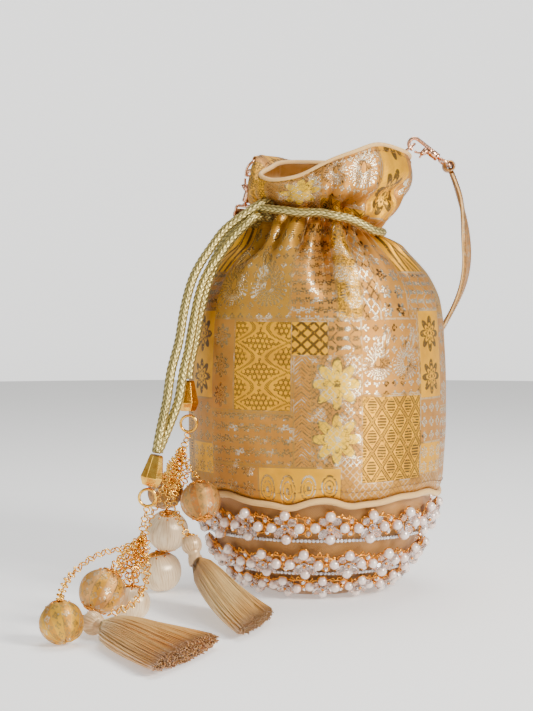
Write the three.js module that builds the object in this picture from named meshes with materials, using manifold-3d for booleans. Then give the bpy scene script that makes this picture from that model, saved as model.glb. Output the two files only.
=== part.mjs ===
// A brocade potli bag: a drawstring pouch with a gathered neck and ruffled mouth on a beaded bowl,
// two drawstrings with pendants, and a clip-on strap.
// Millimetres, +Z up. The origin is the centre of the bowl's flat underside, and the front faces -Y.
import * as THREE from 'three';
import { mergeVertices } from 'three/addons/utils/BufferGeometryUtils.js';
import Module from 'manifold-3d';

const wasm = await Module();
wasm.setup();

// ---- Driving dimensions -------------------------------------------------------------------------

const GAP = 0.4; // clearance between pieces that touch
const ROUND_STEPS = 28; // steps round the bag

const CLOTH_WALL = 1.4; // outer shell: brocade, wadding and seam
const LINING_WALL = 0.8;
const CUP_WALL = 2.0;

const SHOULDER_Z = 178; // the body is round up to here
const NECK_Z = 190; // the gathered neck, before it is tilted
const NECK_R = 35.5;
const MOUTH_Z = 222; // the rim, before it is draped
const FLARE_FROM = 0.2; // the ruffle rises straight for this share of its height
const NECK_DROP_TO_RIGHT = 7; // the neck's tilt, down at the right side
const NECK_RISE_TO_FRONT = 3;
const TUNNEL_R = 28; // the lining stands back here, for the drawstrings

const CORD_D = 4.5;
const LOOP_1_Z = 188.2; // the two drawstrings in the tunnel, before the neck is tilted
const LOOP_2_Z = 193.2;
const CHAIN_D = 1.7;

// The bowl's outside, from its flat bottom to its top edge: radius, height.
const CUP_SIDE = [[26, 0], [31, 2.5], [40, 9], [48, 18.5], [54, 30], [57.5, 40], [60, 50], [61, 56]];

// The brocade's outside, from its bottom hem to the mouth.
const SHELL_SIDE = [
  [63.4, 53.2], [65.4, 57.5], [66.8, 72], [67, 92], [66.8, 112], [65.6, 132], [63, 149], [59, 161],
  [53.5, 170], [47.5, 177], [41.5, 184], [NECK_R, NECK_Z], [NECK_R, 198], [NECK_R, 207],
  [NECK_R, 215], [NECK_R, MOUTH_Z],
];

// The lining's outside above the bowl, pulled in at the drawstring tunnel.
const LINING_SIDE = [
  [58.2, 57], [62.4, 64], [64.8, 76], [65.1, 92], [64.9, 112], [63.6, 132], [60.8, 149], [56.6, 161],
  [50.4, 169], [44, 174.5], [TUNNEL_R, 180.6], [TUNNEL_R, 196], [33.4, 199], [33.6, 207],
  [33.6, 215], [33.6, MOUTH_Z],
];

// The mouth's outline, an eighth of a turn apart from the right side towards the back.
const MOUTH = new THREE.CatmullRomCurve3([
  new THREE.Vector3(48.5, 0, 220.5),
  new THREE.Vector3(31, 31, 223),
  new THREE.Vector3(2, 37, 223.5),
  new THREE.Vector3(-24, 27, 226),
  new THREE.Vector3(-33, 0, 224),
  new THREE.Vector3(-27, -28, 210.5),
  new THREE.Vector3(5, -37, 218),
  new THREE.Vector3(33, -29, 226.5),
], true);

// The pipings, before the rim's is draped: middle, height and wire radius.
const RIM_PIPING = { r: NECK_R - CLOTH_WALL / 2 - 0.3, z: MOUTH_Z + 1.9, wire: 1.3 };
const BASE_PIPING = { r: 63.6, z: 51.2, wire: 1.6 };

// Each row of beaded trim: its middle, its height and thickness, how far the bowl leans out there
// for each millimetre up, and how many flowers it has.
const TRIM_ROWS = [
  { z: 40.5, r: 60, tall: 11, thick: 3.8, lean: 0.3, flowers: 18 },
  { z: 22.8, r: 52.7, tall: 11, thick: 3.8, lean: 0.6, flowers: 16 },
  { z: 7.8, r: 40.6, tall: 8, thick: 3.2, lean: 1.1, flowers: 14 },
];
const STONE_CHAIN_ROWS = [{ z: 32.2, r: 56.6 }, { z: 14.6, r: 46.8 }];
const STONE_CHAIN_D = 2.2;

// The drawstring tails, from the neck to the bell caps.
const CORD_ROUTES = {
  cord_a1: [
    [-38, -27, 187], [-44.5, -29.5, 179.5], [-50, -32.5, 170.5], [-54.5, -34.5, 160.5],
    [-57.5, -36.5, 150], [-59.8, -37.8, 139], [-61.8, -39.2, 127], [-63.9, -43.6, 117],
    [-64.5, -44.6, 110.8],
  ],
  cord_a2: [
    [-41, -21.5, 186.2], [-47, -24, 178.5], [-52.5, -27, 169.5], [-57, -29.5, 159.5],
    [-60.3, -31.5, 149], [-62.8, -33, 138], [-64.8, -34.3, 126.5], [-65.8, -38.2, 117],
    [-65.7, -39.4, 110.8],
  ],
  cord_b1: [
    [-28.5, -28.5, 198.3], [-37.8, -31, 192], [-46.8, -33.5, 184.8], [-52.9, -37, 176.7],
    [-59.4, -42, 166.6], [-63.2, -46.5, 157.7], [-66.3, -52, 144.9], [-68.5, -58, 130],
    [-71.9, -65, 115.8], [-73.8, -71, 101.3], [-76.2, -79.4, 88.4], [-78, -82.2, 77.9],
  ],
  cord_b2: [
    [-34.2, -32.9, 189.5], [-43.5, -34.8, 180], [-50, -38.5, 170.8], [-55.8, -42.3, 162],
    [-59.2, -46.6, 152.3], [-61.3, -51.3, 141], [-63.4, -57, 128], [-66, -63.6, 115.7],
    [-68.4, -68.6, 101.2], [-73.2, -74.4, 88.2], [-77.4, -77.1, 77.9],
  ],
};

// A bell cap: its middle, and how far it leans to the right at its top, in radians.
const CAP_TALL = 15;
const CAPS = {
  cord_cap_a: { at: [-65, -42, 102.3], lean: 0 },
  cord_cap_b: { at: [-79.6, -79.6, 69.3], lean: 0.22 },
};
const CAP_RINGS = {
  cap_ring_a: [-64.6, -42.3, 88.4],
  cap_ring_b: [-82.4, -79.8, 56.3],
};
const CAP_RING_R = 4;

const CHAIN_ROUTES = {
  main_chain_a: [[-65.2, -43, 82.6], [-66.6, -44, 78], [-68.2, -45, 73.5]],
  main_chain_b: [[-82.8, -80.4, 50.7], [-84, -81.3, 45], [-85, -82, 39.5]],
  ball_chain_a1: [[-66.8, -49.2, 70], [-63, -54, 66.4], [-59.8, -57.8, 63.8]],
  ball_chain_a2: [[-70.6, -40.2, 71.5], [-75, -24, 66], [-77.6, -9, 59.4]],
  ball_chain_a3: [[-71, -42.8, 67.8], [-74.5, -35, 57], [-76, -27.6, 44.8]],
  ball_chain_a4: [[-71.8, -45.8, 68], [-83.6, -39, 42], [-88.5, -30, 24], [-87.2, -25.4, 19.5]],
  tassel_chain_a: [[-67.8, -50.6, 66.4], [-71, -57.6, 50], [-65.4, -59.6, 37]],
  ball_chain_b1: [
    [-89.6, -83, 33.4], [-105, -93, 31], [-115.6, -108, 24], [-118, -126, 18.4], [-116.6, -136, 18],
  ],
  ball_chain_b2: [[-87.6, -86.8, 35], [-92.6, -96, 31.6], [-97, -103, 27]],
  ball_chain_b3: [[-84.6, -86.4, 31.6], [-87, -90.6, 24], [-88, -92, 19.2]],
  tassel_chain_b: [[-82.4, -84, 35.4], [-81.6, -98, 21], [-86, -115, 13], [-96.2, -124.2, 9.4]],
};

const BALLS = {
  brocade_ball_1: { at: [-58, -60, 52.2], r: 10 },
  brocade_ball_2: { at: [-79, 0, 49.6], r: 9.5 },
  brocade_ball_3: { at: [-101, -110, 17.2], r: 10.8 },
  brocade_ball_4: { at: [-115.2, -144.8, 9.9], r: 9.9 },
  silk_ball_1: { at: [-76.3, -25, 32.4], r: 10.6 },
  silk_ball_2: { at: [-80.1, -19.4, 10.7], r: 10.7 },
  silk_ball_3: { at: [-88.8, -94.3, 8.7], r: 8.7 },
};

// A tassel: the middle of its bulb, its tied neck, and the two ends of its cut edge.
const TASSELS = [
  {
    bulb: [-62.4, -59.2, 30.6], bulbR: 5.2, neck: [-60.2, -63.2, 22.6],
    edge: [[-38, -141, 4.2], [-22, -94, 4.2]],
  },
  {
    bulb: [-103.4, -127.6, 6.1], bulbR: 5.6, neck: [-98.2, -133, 5.4],
    edge: [[-71, -210, 4.6], [-45, -151, 4.6]],
  },
];
const SKIRT_NECK_R = 4;
const SKIRT_EDGE_HALF_THICKNESS = 4;

// The strap hangs behind the bag, from the right clasp's eye to the left one's.
const STRAP_ROUTE = [
  [70.2, 4, 216.9], [75, 9.5, 204], [79.5, 17, 187], [81, 25, 169], [77.5, 34, 150], [68, 46, 130],
  [52, 60, 110], [30, 71, 95], [0, 77, 87], [-28, 70, 100], [-42, 58, 125], [-44.5, 47, 155],
  [-42, 39, 180], [-39.8, 34.2, 192.8],
];
const STRAP_STEPS = 30;
const STRAP_HALF_WIDE = 4.8;
const STRAP_HALF_THICK = 1.3;
const STRAP_LOOP_R = 3.4; // the sewn loop round the clasp's bar
const STRAP_BORE_R = 1.6;

// The clasps, each about its swivel barrel: local +Z runs to the strap's eye, +X to the gate.
// tab is where the cloth tab holds the ring, and hang is the way that the tab runs down the ruffle.
const CLASPS = {
  right: {
    at: [62.6, 3, 224], turn: new THREE.Euler(0, 2.229, 0, 'ZYX'),
    tab: [42.4, 3, 223.8], hang: [-0.45, 0, -0.89],
  },
  left: {
    at: [-36.9, 31.3, 202.9], turn: new THREE.Euler(0, 3.5, -0.658, 'ZYX'),
    tab: [-31, 24, 224.3], hang: [0.05, -0.04, -1],
  },
};
const WIRE_R = 0.95;
const SHANK_X = -1.2;
const HOOK_R = 3; // middle of the wire's bend
const HOOK_Z = -13.2; // centre of the bend
const TIP_X = SHANK_X + 2 * HOOK_R;
const BARREL_R = 2.2;
const STEM_R = 0.7;
const PIN_X = 3; // the gate's hinge
const PIN_Z = -7;
const PIN_R = 0.42;
const GATE_HALF_WIDE = 0.7;
const EYE_BAR_Z = 8;
const EYE_BAR_R = 0.9;
const EYE_HALF_WINDOW = 5.6;
const RING_WIRE_R = 0.7;
const TAB_HALF_WIDE = 1.8;
const TAB_LONG = 7;

// ---- Solids ------------------------------------------------------------------------------------

function vector([x, y, z]) {
  return new THREE.Vector3(x, y, z);
}

function curve(points) {
  return new THREE.CatmullRomCurve3(points.map(vector));
}

// A closed outline of radius and height, spun about +Z.
function spun(outline, steps = ROUND_STEPS) {
  const points = outline.map(([r, z]) => new THREE.Vector2(r, z));
  return welded(new THREE.LatheGeometry(points, steps).rotateX(Math.PI / 2));
}

function welded(geometry) {
  geometry.deleteAttribute('normal');
  geometry.deleteAttribute('uv');
  return mergeVertices(geometry, 1e-4);
}

// A line of radius and height moved inwards by a distance, square to itself.
function inset(line, distance) {
  return line.map(([r, z], i) => {
    const before = line[Math.max(i - 1, 0)];
    const after = line[Math.min(i + 1, line.length - 1)];
    const along = new THREE.Vector2(after[0] - before[0], after[1] - before[1]).normalize();
    return [r - along.y * distance, z + along.x * distance];
  });
}

// An open wall: the line outside, the inset line inside, closed on itself.
function wall(line, thickness) {
  return [...line, ...inset(line, thickness).reverse(), line[0]];
}

function moved(geometry, place) {
  const position = geometry.getAttribute('position');
  const point = new THREE.Vector3();
  for (let i = 0; i < position.count; i += 1) {
    place(point.fromBufferAttribute(position, i));
    position.setXYZ(i, point.x, point.y, point.z);
  }
  return geometry;
}

// Lifts the round neck and ruffle to the tilted neck and the open, uneven mouth.
function drape(point) {
  const angle = Math.atan2(point.y, point.x);
  const tilt = -NECK_DROP_TO_RIGHT * Math.cos(angle) - NECK_RISE_TO_FRONT * Math.sin(angle);
  if (point.z <= NECK_Z) {
    point.z += tilt * THREE.MathUtils.smoothstep(point.z, SHOULDER_Z, NECK_Z);
    return;
  }
  const mouth = MOUTH.getPoint(THREE.MathUtils.euclideanModulo(angle / (2 * Math.PI), 1));
  const rise = (point.z - NECK_Z) / (MOUTH_Z - NECK_Z);
  const flare = THREE.MathUtils.smoothstep(rise, FLARE_FROM, 1);
  point.x += (mouth.x - NECK_R * Math.cos(angle)) * flare;
  point.y += (mouth.y - NECK_R * Math.sin(angle)) * flare;
  point.z += tilt * (1 - rise) + (mouth.z - MOUTH_Z) * rise;
}

function circle(radius, sides) {
  const outline = new THREE.Shape();
  for (let i = 0; i < sides; i += 1) {
    const angle = (i + 0.5) * 2 * Math.PI / sides;
    outline[i ? 'lineTo' : 'moveTo'](radius * Math.cos(angle), radius * Math.sin(angle));
  }
  outline.closePath();
  return outline;
}

function tube(path, diameter, steps, sides = 8) {
  const along = { extrudePath: path, steps, bevelEnabled: false };
  return welded(new THREE.ExtrudeGeometry(circle(diameter / 2, sides), along));
}

// A ring of wire about the local +Z axis.
function wireRing(radius, wireRadius, steps, sides = 6) {
  const outline = [];
  for (let i = 0; i <= sides; i += 1) {
    const angle = (i % sides) * 2 * Math.PI / sides;
    outline.push([radius + wireRadius * Math.cos(angle), wireRadius * Math.sin(angle)]);
  }
  return spun(outline, steps);
}

function ringAt(radius, z, wireRadius, steps = ROUND_STEPS) {
  return wireRing(radius, wireRadius, steps).translate(0, 0, z);
}

function rod(radius, from, to, sides = 8) {
  const height = to - from;
  return new THREE.CylinderGeometry(radius, radius, height, sides)
    .rotateX(Math.PI / 2).translate(0, 0, (from + to) / 2);
}

function block(x0, x1, y0, y1, z0, z1) {
  return new THREE.BoxGeometry(x1 - x0, y1 - y0, z1 - z0)
    .translate((x0 + x1) / 2, (y0 + y1) / 2, (z0 + z1) / 2);
}

// A rod that lies across the clasp, along local Y.
function crossRod(radius, x, z, halfLength, sides = 10) {
  return new THREE.CylinderGeometry(radius, radius, 2 * halfLength, sides).translate(x, 0, z);
}

function solid(geometry) {
  const closed = welded(geometry);
  return new wasm.Manifold(new wasm.Mesh({
    numProp: 3,
    vertProperties: new Float32Array(closed.getAttribute('position').array),
    triVerts: new Uint32Array(closed.getIndex().array),
  }));
}

function shape(manifold) {
  const mesh = manifold.getMesh();
  const geometry = new THREE.BufferGeometry();
  geometry.setAttribute('position', new THREE.BufferAttribute(mesh.vertProperties, 3));
  geometry.setIndex(new THREE.BufferAttribute(mesh.triVerts, 1));
  return geometry;
}

// ---- Materials ---------------------------------------------------------------------------------

const BROCADE = { color: 0xcda550, roughness: 0.45, metalness: 0.35 };
const LINING = { color: 0xd8b27a, roughness: 0.7, metalness: 0 };
const PIPING = { color: 0xe1c896, roughness: 0.6, metalness: 0 };
const BOWL_CLOTH = { color: 0xc8a064, roughness: 0.6, metalness: 0.1 };
const BEADS = { color: 0xf0e6e2, roughness: 0.25, metalness: 0.1 };
const STONES = { color: 0xdcdcdc, roughness: 0.15, metalness: 0.8 };
const CORD = { color: 0xbeb482, roughness: 0.5, metalness: 0.3 };
const GOLD = { color: 0xe0a838, roughness: 0.2, metalness: 1 };
const ROSE_GOLD = { color: 0xd89878, roughness: 0.2, metalness: 1 };
const IVORY_SILK = { color: 0xe4d8c4, roughness: 0.4, metalness: 0 };
const TAN_SILK = { color: 0xc8a068, roughness: 0.45, metalness: 0 };

function piece(name, geometry, look) {
  const mesh = new THREE.Mesh(geometry, new THREE.MeshStandardMaterial(look));
  mesh.name = name;
  return mesh;
}

// ---- Bag ---------------------------------------------------------------------------------------

function bowl() {
  const inside = inset(CUP_SIDE, CUP_WALL);
  inside[0] = [inside[0][0], CUP_WALL];
  return spun([[0, 0], ...CUP_SIDE, ...inside.reverse(), [0, CUP_WALL]]);
}

function lining() {
  const onBowl = inset(CUP_SIDE.slice(0, -1), CUP_WALL + GAP);
  onBowl[0] = [onBowl[0][0], CUP_WALL + GAP];
  const outside = [...onBowl, ...LINING_SIDE];
  const inside = inset(outside, LINING_WALL);
  inside[0] = [inside[0][0], CUP_WALL + GAP + LINING_WALL];
  const outline = [[0, CUP_WALL + GAP], ...outside, ...inside.reverse(), [0, CUP_WALL + GAP + LINING_WALL]];
  return moved(spun(outline), drape);
}

// A row of flowers along the bowl: a band whose outside swells at each flower.
function beadTrim({ z, r, tall, thick, lean, flowers }) {
  const half = tall / 2;
  const outline = [
    [r - thick / 2 - half * lean, z - half], [r - half * lean, z - half], [r + thick / 2, z - half / 2],
    [r + thick / 2 + half * lean, z + half / 2], [r + half * lean, z + half],
    [r - thick / 2 + half * lean, z + half],
  ];
  const swell = 0.6;
  return moved(spun([...outline, outline[0]], 2 * flowers), (point) => {
    const radius = Math.hypot(point.x, point.y);
    const outside = radius > r - thick / 2 + lean * (point.z - z) + 1;
    const angle = Math.atan2(point.y, point.x);
    const wave = outside ? 1 + swell * Math.cos(angle * flowers) / radius : 1;
    point.x *= wave;
    point.y *= wave;
  });
}

function bag() {
  const group = new THREE.Group();
  group.add(piece('outer_shell', moved(spun(wall(SHELL_SIDE, CLOTH_WALL)), drape), BROCADE));
  group.add(piece('lining', lining(), LINING));
  const rim = ringAt(RIM_PIPING.r, RIM_PIPING.z, RIM_PIPING.wire);
  group.add(piece('rim_piping', moved(rim, drape), PIPING));
  group.add(piece('base_piping', ringAt(BASE_PIPING.r, BASE_PIPING.z, BASE_PIPING.wire), PIPING));
  group.add(piece('base_cup', bowl(), BOWL_CLOTH));
  TRIM_ROWS.forEach((row, i) => group.add(piece(`bead_trim_${i + 1}`, beadTrim(row), BEADS)));
  STONE_CHAIN_ROWS.forEach(({ z, r }, i) => {
    group.add(piece(`stone_chain_${i + 1}`, ringAt(r, z, STONE_CHAIN_D / 2), STONES));
  });
  return group;
}

// ---- Drawstrings and pendants ------------------------------------------------------------------

// An arc round the neck, in degrees from the right side, following the neck's tilt.
function neckArc(radius, z, from, to) {
  const points = [];
  const parts = 12;
  for (let i = 0; i <= parts; i += 1) {
    const angle = THREE.MathUtils.degToRad(from + (to - from) * i / parts);
    const point = new THREE.Vector3(radius * Math.cos(angle), radius * Math.sin(angle), z);
    drape(point);
    points.push(point);
  }
  return new THREE.CatmullRomCurve3(points);
}

// A bell cap: a blind cup of eight flats with a thick top for the two cord ends.
function bellCap() {
  const low = -CAP_TALL / 2;
  const outline = [
    [0, CAP_TALL / 2], [3.5, CAP_TALL / 2], [5.7, low + 4.2], [4.1, low], [3.1, low], [4.2, low + 4.2],
    [2.4, CAP_TALL / 2 - 3], [0, CAP_TALL / 2 - 3],
  ];
  return spun(outline.reverse(), 8);
}

function ball(radius) {
  return welded(new THREE.SphereGeometry(radius, 10, 7).rotateX(Math.PI / 2));
}

// A skirt of threads, round at its tied neck and spread flat at its cut edge.
function tasselSkirt({ neck, edge }) {
  const start = vector(neck);
  const [left, right] = edge.map(vector);
  const end = left.clone().add(right).multiplyScalar(0.5);
  const across = right.clone().sub(left).multiplyScalar(0.5);
  const side = across.clone().normalize();
  const length = 1;
  const rows = 4;
  const geometry = welded(new THREE.CylinderGeometry(1, 1, length, 12, rows));
  return moved(geometry, (point) => {
    const along = 0.5 - point.y / length;
    const wide = THREE.MathUtils.lerp(SKIRT_NECK_R, across.length(), along);
    const high = THREE.MathUtils.lerp(SKIRT_NECK_R, SKIRT_EDGE_HALF_THICKNESS, along);
    const spread = side.clone().multiplyScalar(point.x * wide);
    const lift = point.z * high;
    const sag = Math.sin(Math.PI * along) * (start.z - end.z) * 0.12;
    point.copy(start).lerp(end, along).add(spread);
    point.z += lift - sag;
  });
}

function drawstrings() {
  const group = new THREE.Group();
  const tunnelMiddle = (TUNNEL_R + NECK_R - CLOTH_WALL) / 2;
  const outside = NECK_R + CORD_D / 2 + 0.8;
  group.add(piece('drawstring_loop_1', tube(neckArc(tunnelMiddle, LOOP_1_Z, -130, 190), CORD_D, 24), CORD));
  group.add(piece('drawstring_loop_2', tube(neckArc(tunnelMiddle, LOOP_2_Z, -30, 190), CORD_D, 18), CORD));
  group.add(piece('drawstring_front', tube(neckArc(outside, NECK_Z + 1, -126, -32), CORD_D, 9), CORD));
  for (const [name, route] of Object.entries(CORD_ROUTES)) {
    group.add(piece(name, tube(curve(route), CORD_D, route.length + 2), CORD));
  }
  for (const [name, { at, lean }] of Object.entries(CAPS)) {
    const cap = piece(name, bellCap(), GOLD);
    cap.position.set(...at);
    cap.rotation.y = lean;
    group.add(cap);
  }
  for (const [name, at] of Object.entries(CAP_RINGS)) {
    const ring = piece(name, wireRing(CAP_RING_R, CHAIN_D / 2, 10, 5), GOLD);
    ring.position.set(...at);
    ring.rotation.x = Math.PI / 2;
    group.add(ring);
  }
  return group;
}

function pendants() {
  const group = new THREE.Group();
  for (const [name, route] of Object.entries(CHAIN_ROUTES)) {
    group.add(piece(name, tube(curve(route), CHAIN_D, route.length), GOLD));
  }
  for (const [name, { at, r }] of Object.entries(BALLS)) {
    const sphere = piece(name, ball(r), name.startsWith('silk') ? IVORY_SILK : BROCADE);
    sphere.position.set(...at);
    group.add(sphere);
  }
  TASSELS.forEach((tassel, i) => {
    const head = piece(`tassel_head_${i + 1}`, ball(tassel.bulbR), IVORY_SILK);
    head.position.set(...tassel.bulb);
    group.add(head, piece(`tassel_skirt_${i + 1}`, tasselSkirt(tassel), TAN_SILK));
  });
  return group;
}

// ---- Strap and clasps --------------------------------------------------------------------------

const ACROSS_CLASP = new THREE.Vector3(0, 1, 0);

function inClasp({ at, turn }, x, z) {
  return new THREE.Vector3(x, 0, z).applyEuler(turn).add(vector(at));
}

// The wire hook, its swivel barrel and the slotted lugs that hold the gate's pin.
function hookBody() {
  const bend = [];
  const parts = 6;
  for (let i = 0; i <= parts; i += 1) {
    const angle = Math.PI * (1 + i / parts);
    bend.push([SHANK_X + HOOK_R + HOOK_R * Math.cos(angle), 0, HOOK_Z + HOOK_R * Math.sin(angle)]);
  }
  const route = [[SHANK_X, 0, -4.6], [SHANK_X, 0, -9], ...bend, [TIP_X, 0, HOOK_Z + 1.6]];
  const wire = solid(tube(curve(route), 2 * WIRE_R, 16));
  const barrel = solid(spun([
    [0, -5], [BARREL_R, -5], [BARREL_R, 1], [STEM_R + 0.35, 1], [STEM_R + 0.35, -1.6], [1.75, -1.6],
    [1.75, -3.3], [0, -3.3],
  ], 10));
  const lugs = solid(block(0.2, PIN_X + 1.6, -1.7, 1.7, PIN_Z - 1.3, -4.7));
  const bridge = solid(block(SHANK_X - 0.6, 0.8, -1.5, 1.5, PIN_Z - 0.8, -4.4));
  const slot = solid(block(0.9, PIN_X + 2, -1.05, 1.05, PIN_Z - 2, -5.2));
  const pinHole = solid(crossRod(PIN_R + 0.33, PIN_X, PIN_Z, 3));
  return shape(wire.add(barrel).add(lugs).add(bridge).subtract(slot).subtract(pinHole));
}

// The gate: a knuckle on the pin, a bar to the hook's tip and a thumb tab.
function gate() {
  const route = curve([[PIN_X + 0.4, 0, PIN_Z - 0.6], [4.3, 0, -9], [TIP_X, 0, HOOK_Z + 2.1]]);
  const knuckle = solid(crossRod(1.35, PIN_X, PIN_Z, GATE_HALF_WIDE));
  const bar = solid(tube(route, 1.3, 3));
  const tab = solid(block(PIN_X + 0.6, 5.8, -GATE_HALF_WIDE, GATE_HALF_WIDE, PIN_Z - 0.5, PIN_Z + 0.7));
  const bore = solid(crossRod(PIN_R + 0.33, PIN_X, PIN_Z, 2));
  return shape(knuckle.add(bar).add(tab).subtract(bore));
}

// The strap's eye: a flat loop with a bar, on a headed stem that turns in the barrel.
function swivelEye() {
  const outline = [
    [0, -2.95], [1.4, -2.95], [1.4, -1.95], [STEM_R, -1.95], [STEM_R, 3.2], [0, 3.2],
  ];
  const stem = solid(spun(outline, 8));
  const outside = EYE_HALF_WINDOW + 1.1;
  const frame = solid(block(-EYE_BAR_R, EYE_BAR_R, -outside, outside, 2.6, EYE_BAR_Z + EYE_BAR_R));
  const window = solid(block(-2, 2, -EYE_HALF_WINDOW, EYE_HALF_WINDOW, 4.2, EYE_BAR_Z - EYE_BAR_R));
  return shape(stem.add(frame.subtract(window)));
}

// A cloth loop round the ring, with its tail sewn down the ruffle.
function ringTab() {
  const loop = solid(crossRod(RING_WIRE_R + 1.5, 0, 0, TAB_HALF_WIDE));
  const tail = solid(block(-0.8, 0.8, -TAB_HALF_WIDE, TAB_HALF_WIDE, -TAB_LONG, 0));
  return shape(loop.add(tail).subtract(solid(crossRod(RING_WIRE_R + 0.6, 0, 0, 4))));
}

// The ring runs through the hook's bend and through its cloth tab.
function ringAndTab(side, place) {
  const group = new THREE.Group();
  const inHook = inClasp(place, SHANK_X + HOOK_R, HOOK_Z);
  const inTab = vector(place.tab);
  const along = inTab.clone().sub(inHook);
  const radius = along.length() / 2;
  const level = ACROSS_CLASP.clone().applyEuler(place.turn);
  const axis = along.normalize().clone().cross(level).normalize();
  const across = axis.clone().cross(along);

  const ring = piece(`d_ring_${side}`, wireRing(radius, RING_WIRE_R, 16), ROSE_GOLD);
  ring.position.copy(inHook).lerp(inTab, 0.5);
  ring.quaternion.setFromRotationMatrix(new THREE.Matrix4().makeBasis(along, across, axis));

  const up = vector(place.hang).negate();
  up.addScaledVector(across, -up.dot(across)).normalize();
  const tab = piece(`ring_tab_${side}`, ringTab(), BROCADE);
  tab.position.copy(inTab);
  const out = across.clone().cross(up);
  tab.quaternion.setFromRotationMatrix(new THREE.Matrix4().makeBasis(out, across, up));
  group.add(ring, tab);
  return group;
}

function clasp(side, place) {
  const hook = new THREE.Group();
  hook.position.set(...place.at);
  hook.rotation.copy(place.turn);
  hook.add(piece(`hook_${side}`, hookBody(), ROSE_GOLD));
  hook.add(piece(`gate_${side}`, gate(), ROSE_GOLD));
  hook.add(piece(`gate_pin_${side}`, crossRod(PIN_R, PIN_X, PIN_Z, 1.7, 6), ROSE_GOLD));
  hook.add(piece(`swivel_eye_${side}`, swivelEye(), ROSE_GOLD));
  const group = new THREE.Group();
  group.add(hook, ringAndTab(side, place));
  return group;
}

// The band, its broad face towards the bag, with a sewn loop round each clasp's bar.
function strap() {
  const path = curve(STRAP_ROUTE);
  const band = moved(welded(new THREE.BoxGeometry(1, 1, 1, 1, 1, STRAP_STEPS)), (point) => {
    const at = THREE.MathUtils.clamp(point.z + 0.5, 0, 1);
    const centre = path.getPoint(at);
    const along = path.getTangent(at);
    const outwards = new THREE.Vector3(centre.x, centre.y, 0).normalize();
    const across = along.clone().cross(outwards).normalize();
    const square = across.clone().cross(along);
    const wide = point.x * 2 * STRAP_HALF_WIDE;
    const thick = -point.y * 2 * STRAP_HALF_THICK;
    point.copy(centre).addScaledVector(across, wide).addScaledVector(square, thick);
  });
  let whole = solid(band);
  for (const place of Object.values(CLASPS)) {
    const bar = inClasp(place, 0, EYE_BAR_Z);
    const put = new THREE.Matrix4().makeRotationFromEuler(place.turn).setPosition(bar);
    whole = whole.add(solid(crossRod(STRAP_LOOP_R, 0, 0, STRAP_HALF_WIDE, 12).applyMatrix4(put)));
  }
  for (const place of Object.values(CLASPS)) {
    const bar = inClasp(place, 0, EYE_BAR_Z);
    const put = new THREE.Matrix4().makeRotationFromEuler(place.turn).setPosition(bar);
    whole = whole.subtract(solid(crossRod(STRAP_BORE_R, 0, 0, 3 * STRAP_HALF_WIDE).applyMatrix4(put)));
  }
  return piece('strap', shape(whole), BROCADE);
}

const group = new THREE.Group();
group.name = 'potli_bag';
group.add(bag(), drawstrings(), pendants(), strap());
for (const [side, place] of Object.entries(CLASPS)) {
  group.add(clasp(side, place));
}
export default group;
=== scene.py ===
"""The looks of the brocade potli bag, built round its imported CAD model.

Lengths are millimetres until a piece is made, apart from the camera, stage and lights, which are placed
in metres. The front of the bag faces -Y.
"""

import math

import bpy
import numpy as np
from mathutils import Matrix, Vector


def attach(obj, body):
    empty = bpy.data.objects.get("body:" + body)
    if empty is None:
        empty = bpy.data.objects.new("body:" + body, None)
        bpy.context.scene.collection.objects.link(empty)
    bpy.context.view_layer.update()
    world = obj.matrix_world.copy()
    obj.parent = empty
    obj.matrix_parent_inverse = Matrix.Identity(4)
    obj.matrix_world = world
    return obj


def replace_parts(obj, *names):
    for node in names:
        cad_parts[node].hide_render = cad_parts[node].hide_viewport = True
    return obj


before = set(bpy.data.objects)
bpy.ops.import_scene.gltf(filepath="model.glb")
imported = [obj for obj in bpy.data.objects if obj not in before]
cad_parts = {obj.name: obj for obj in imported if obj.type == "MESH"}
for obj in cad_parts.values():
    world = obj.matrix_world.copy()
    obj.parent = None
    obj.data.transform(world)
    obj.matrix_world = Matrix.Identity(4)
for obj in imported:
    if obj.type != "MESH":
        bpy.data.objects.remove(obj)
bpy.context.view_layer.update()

MM = 0.001
ROOT = "root"
rng = np.random.default_rng(7)

# ---- Camera ------------------------------------------------------------------------------------

camera = bpy.data.objects.new("camera", bpy.data.cameras.new("camera"))
camera.location = (-0.026, -0.850, 0.154)
camera.rotation_euler = (math.radians(87.75), 0, 0)
camera.data.lens = 82.6
camera.data.sensor_width = 36
bpy.context.collection.objects.link(camera)
bpy.context.scene.camera = camera


# ---- Points, lines and meshes ------------------------------------------------------------------


def smoothstep(x, low, high):
    t = np.clip((np.asarray(x, float) - low) / (high - low), 0, 1)
    return t * t * (3 - 2 * t)


def spline(points, count, closed=False):
    """count points, evenly stepped, on the Catmull-Rom curve through the given points."""
    p = np.asarray(points, float)
    n = len(p)
    if closed:
        t = np.arange(count) * n / count
    else:
        t = np.linspace(0, n - 1, count)
    i = np.minimum(np.floor(t).astype(int), n - 1 if closed else n - 2)
    f = (t - i)[:, None]

    def at(k):
        if closed:
            return p[k % n]
        inside = p[np.clip(k, 0, n - 1)]
        inside = np.where((k < 0)[:, None], 2 * p[0] - p[1], inside)
        return np.where((k >= n)[:, None], 2 * p[-1] - p[-2], inside)

    a, b, c, d = at(i - 1), at(i), at(i + 1), at(i + 2)
    square = 2 * a - 5 * b + 4 * c - d
    cube = 3 * b - a - 3 * c + d
    return 0.5 * (2 * b + (c - a) * f + square * f**2 + cube * f**3)


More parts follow.
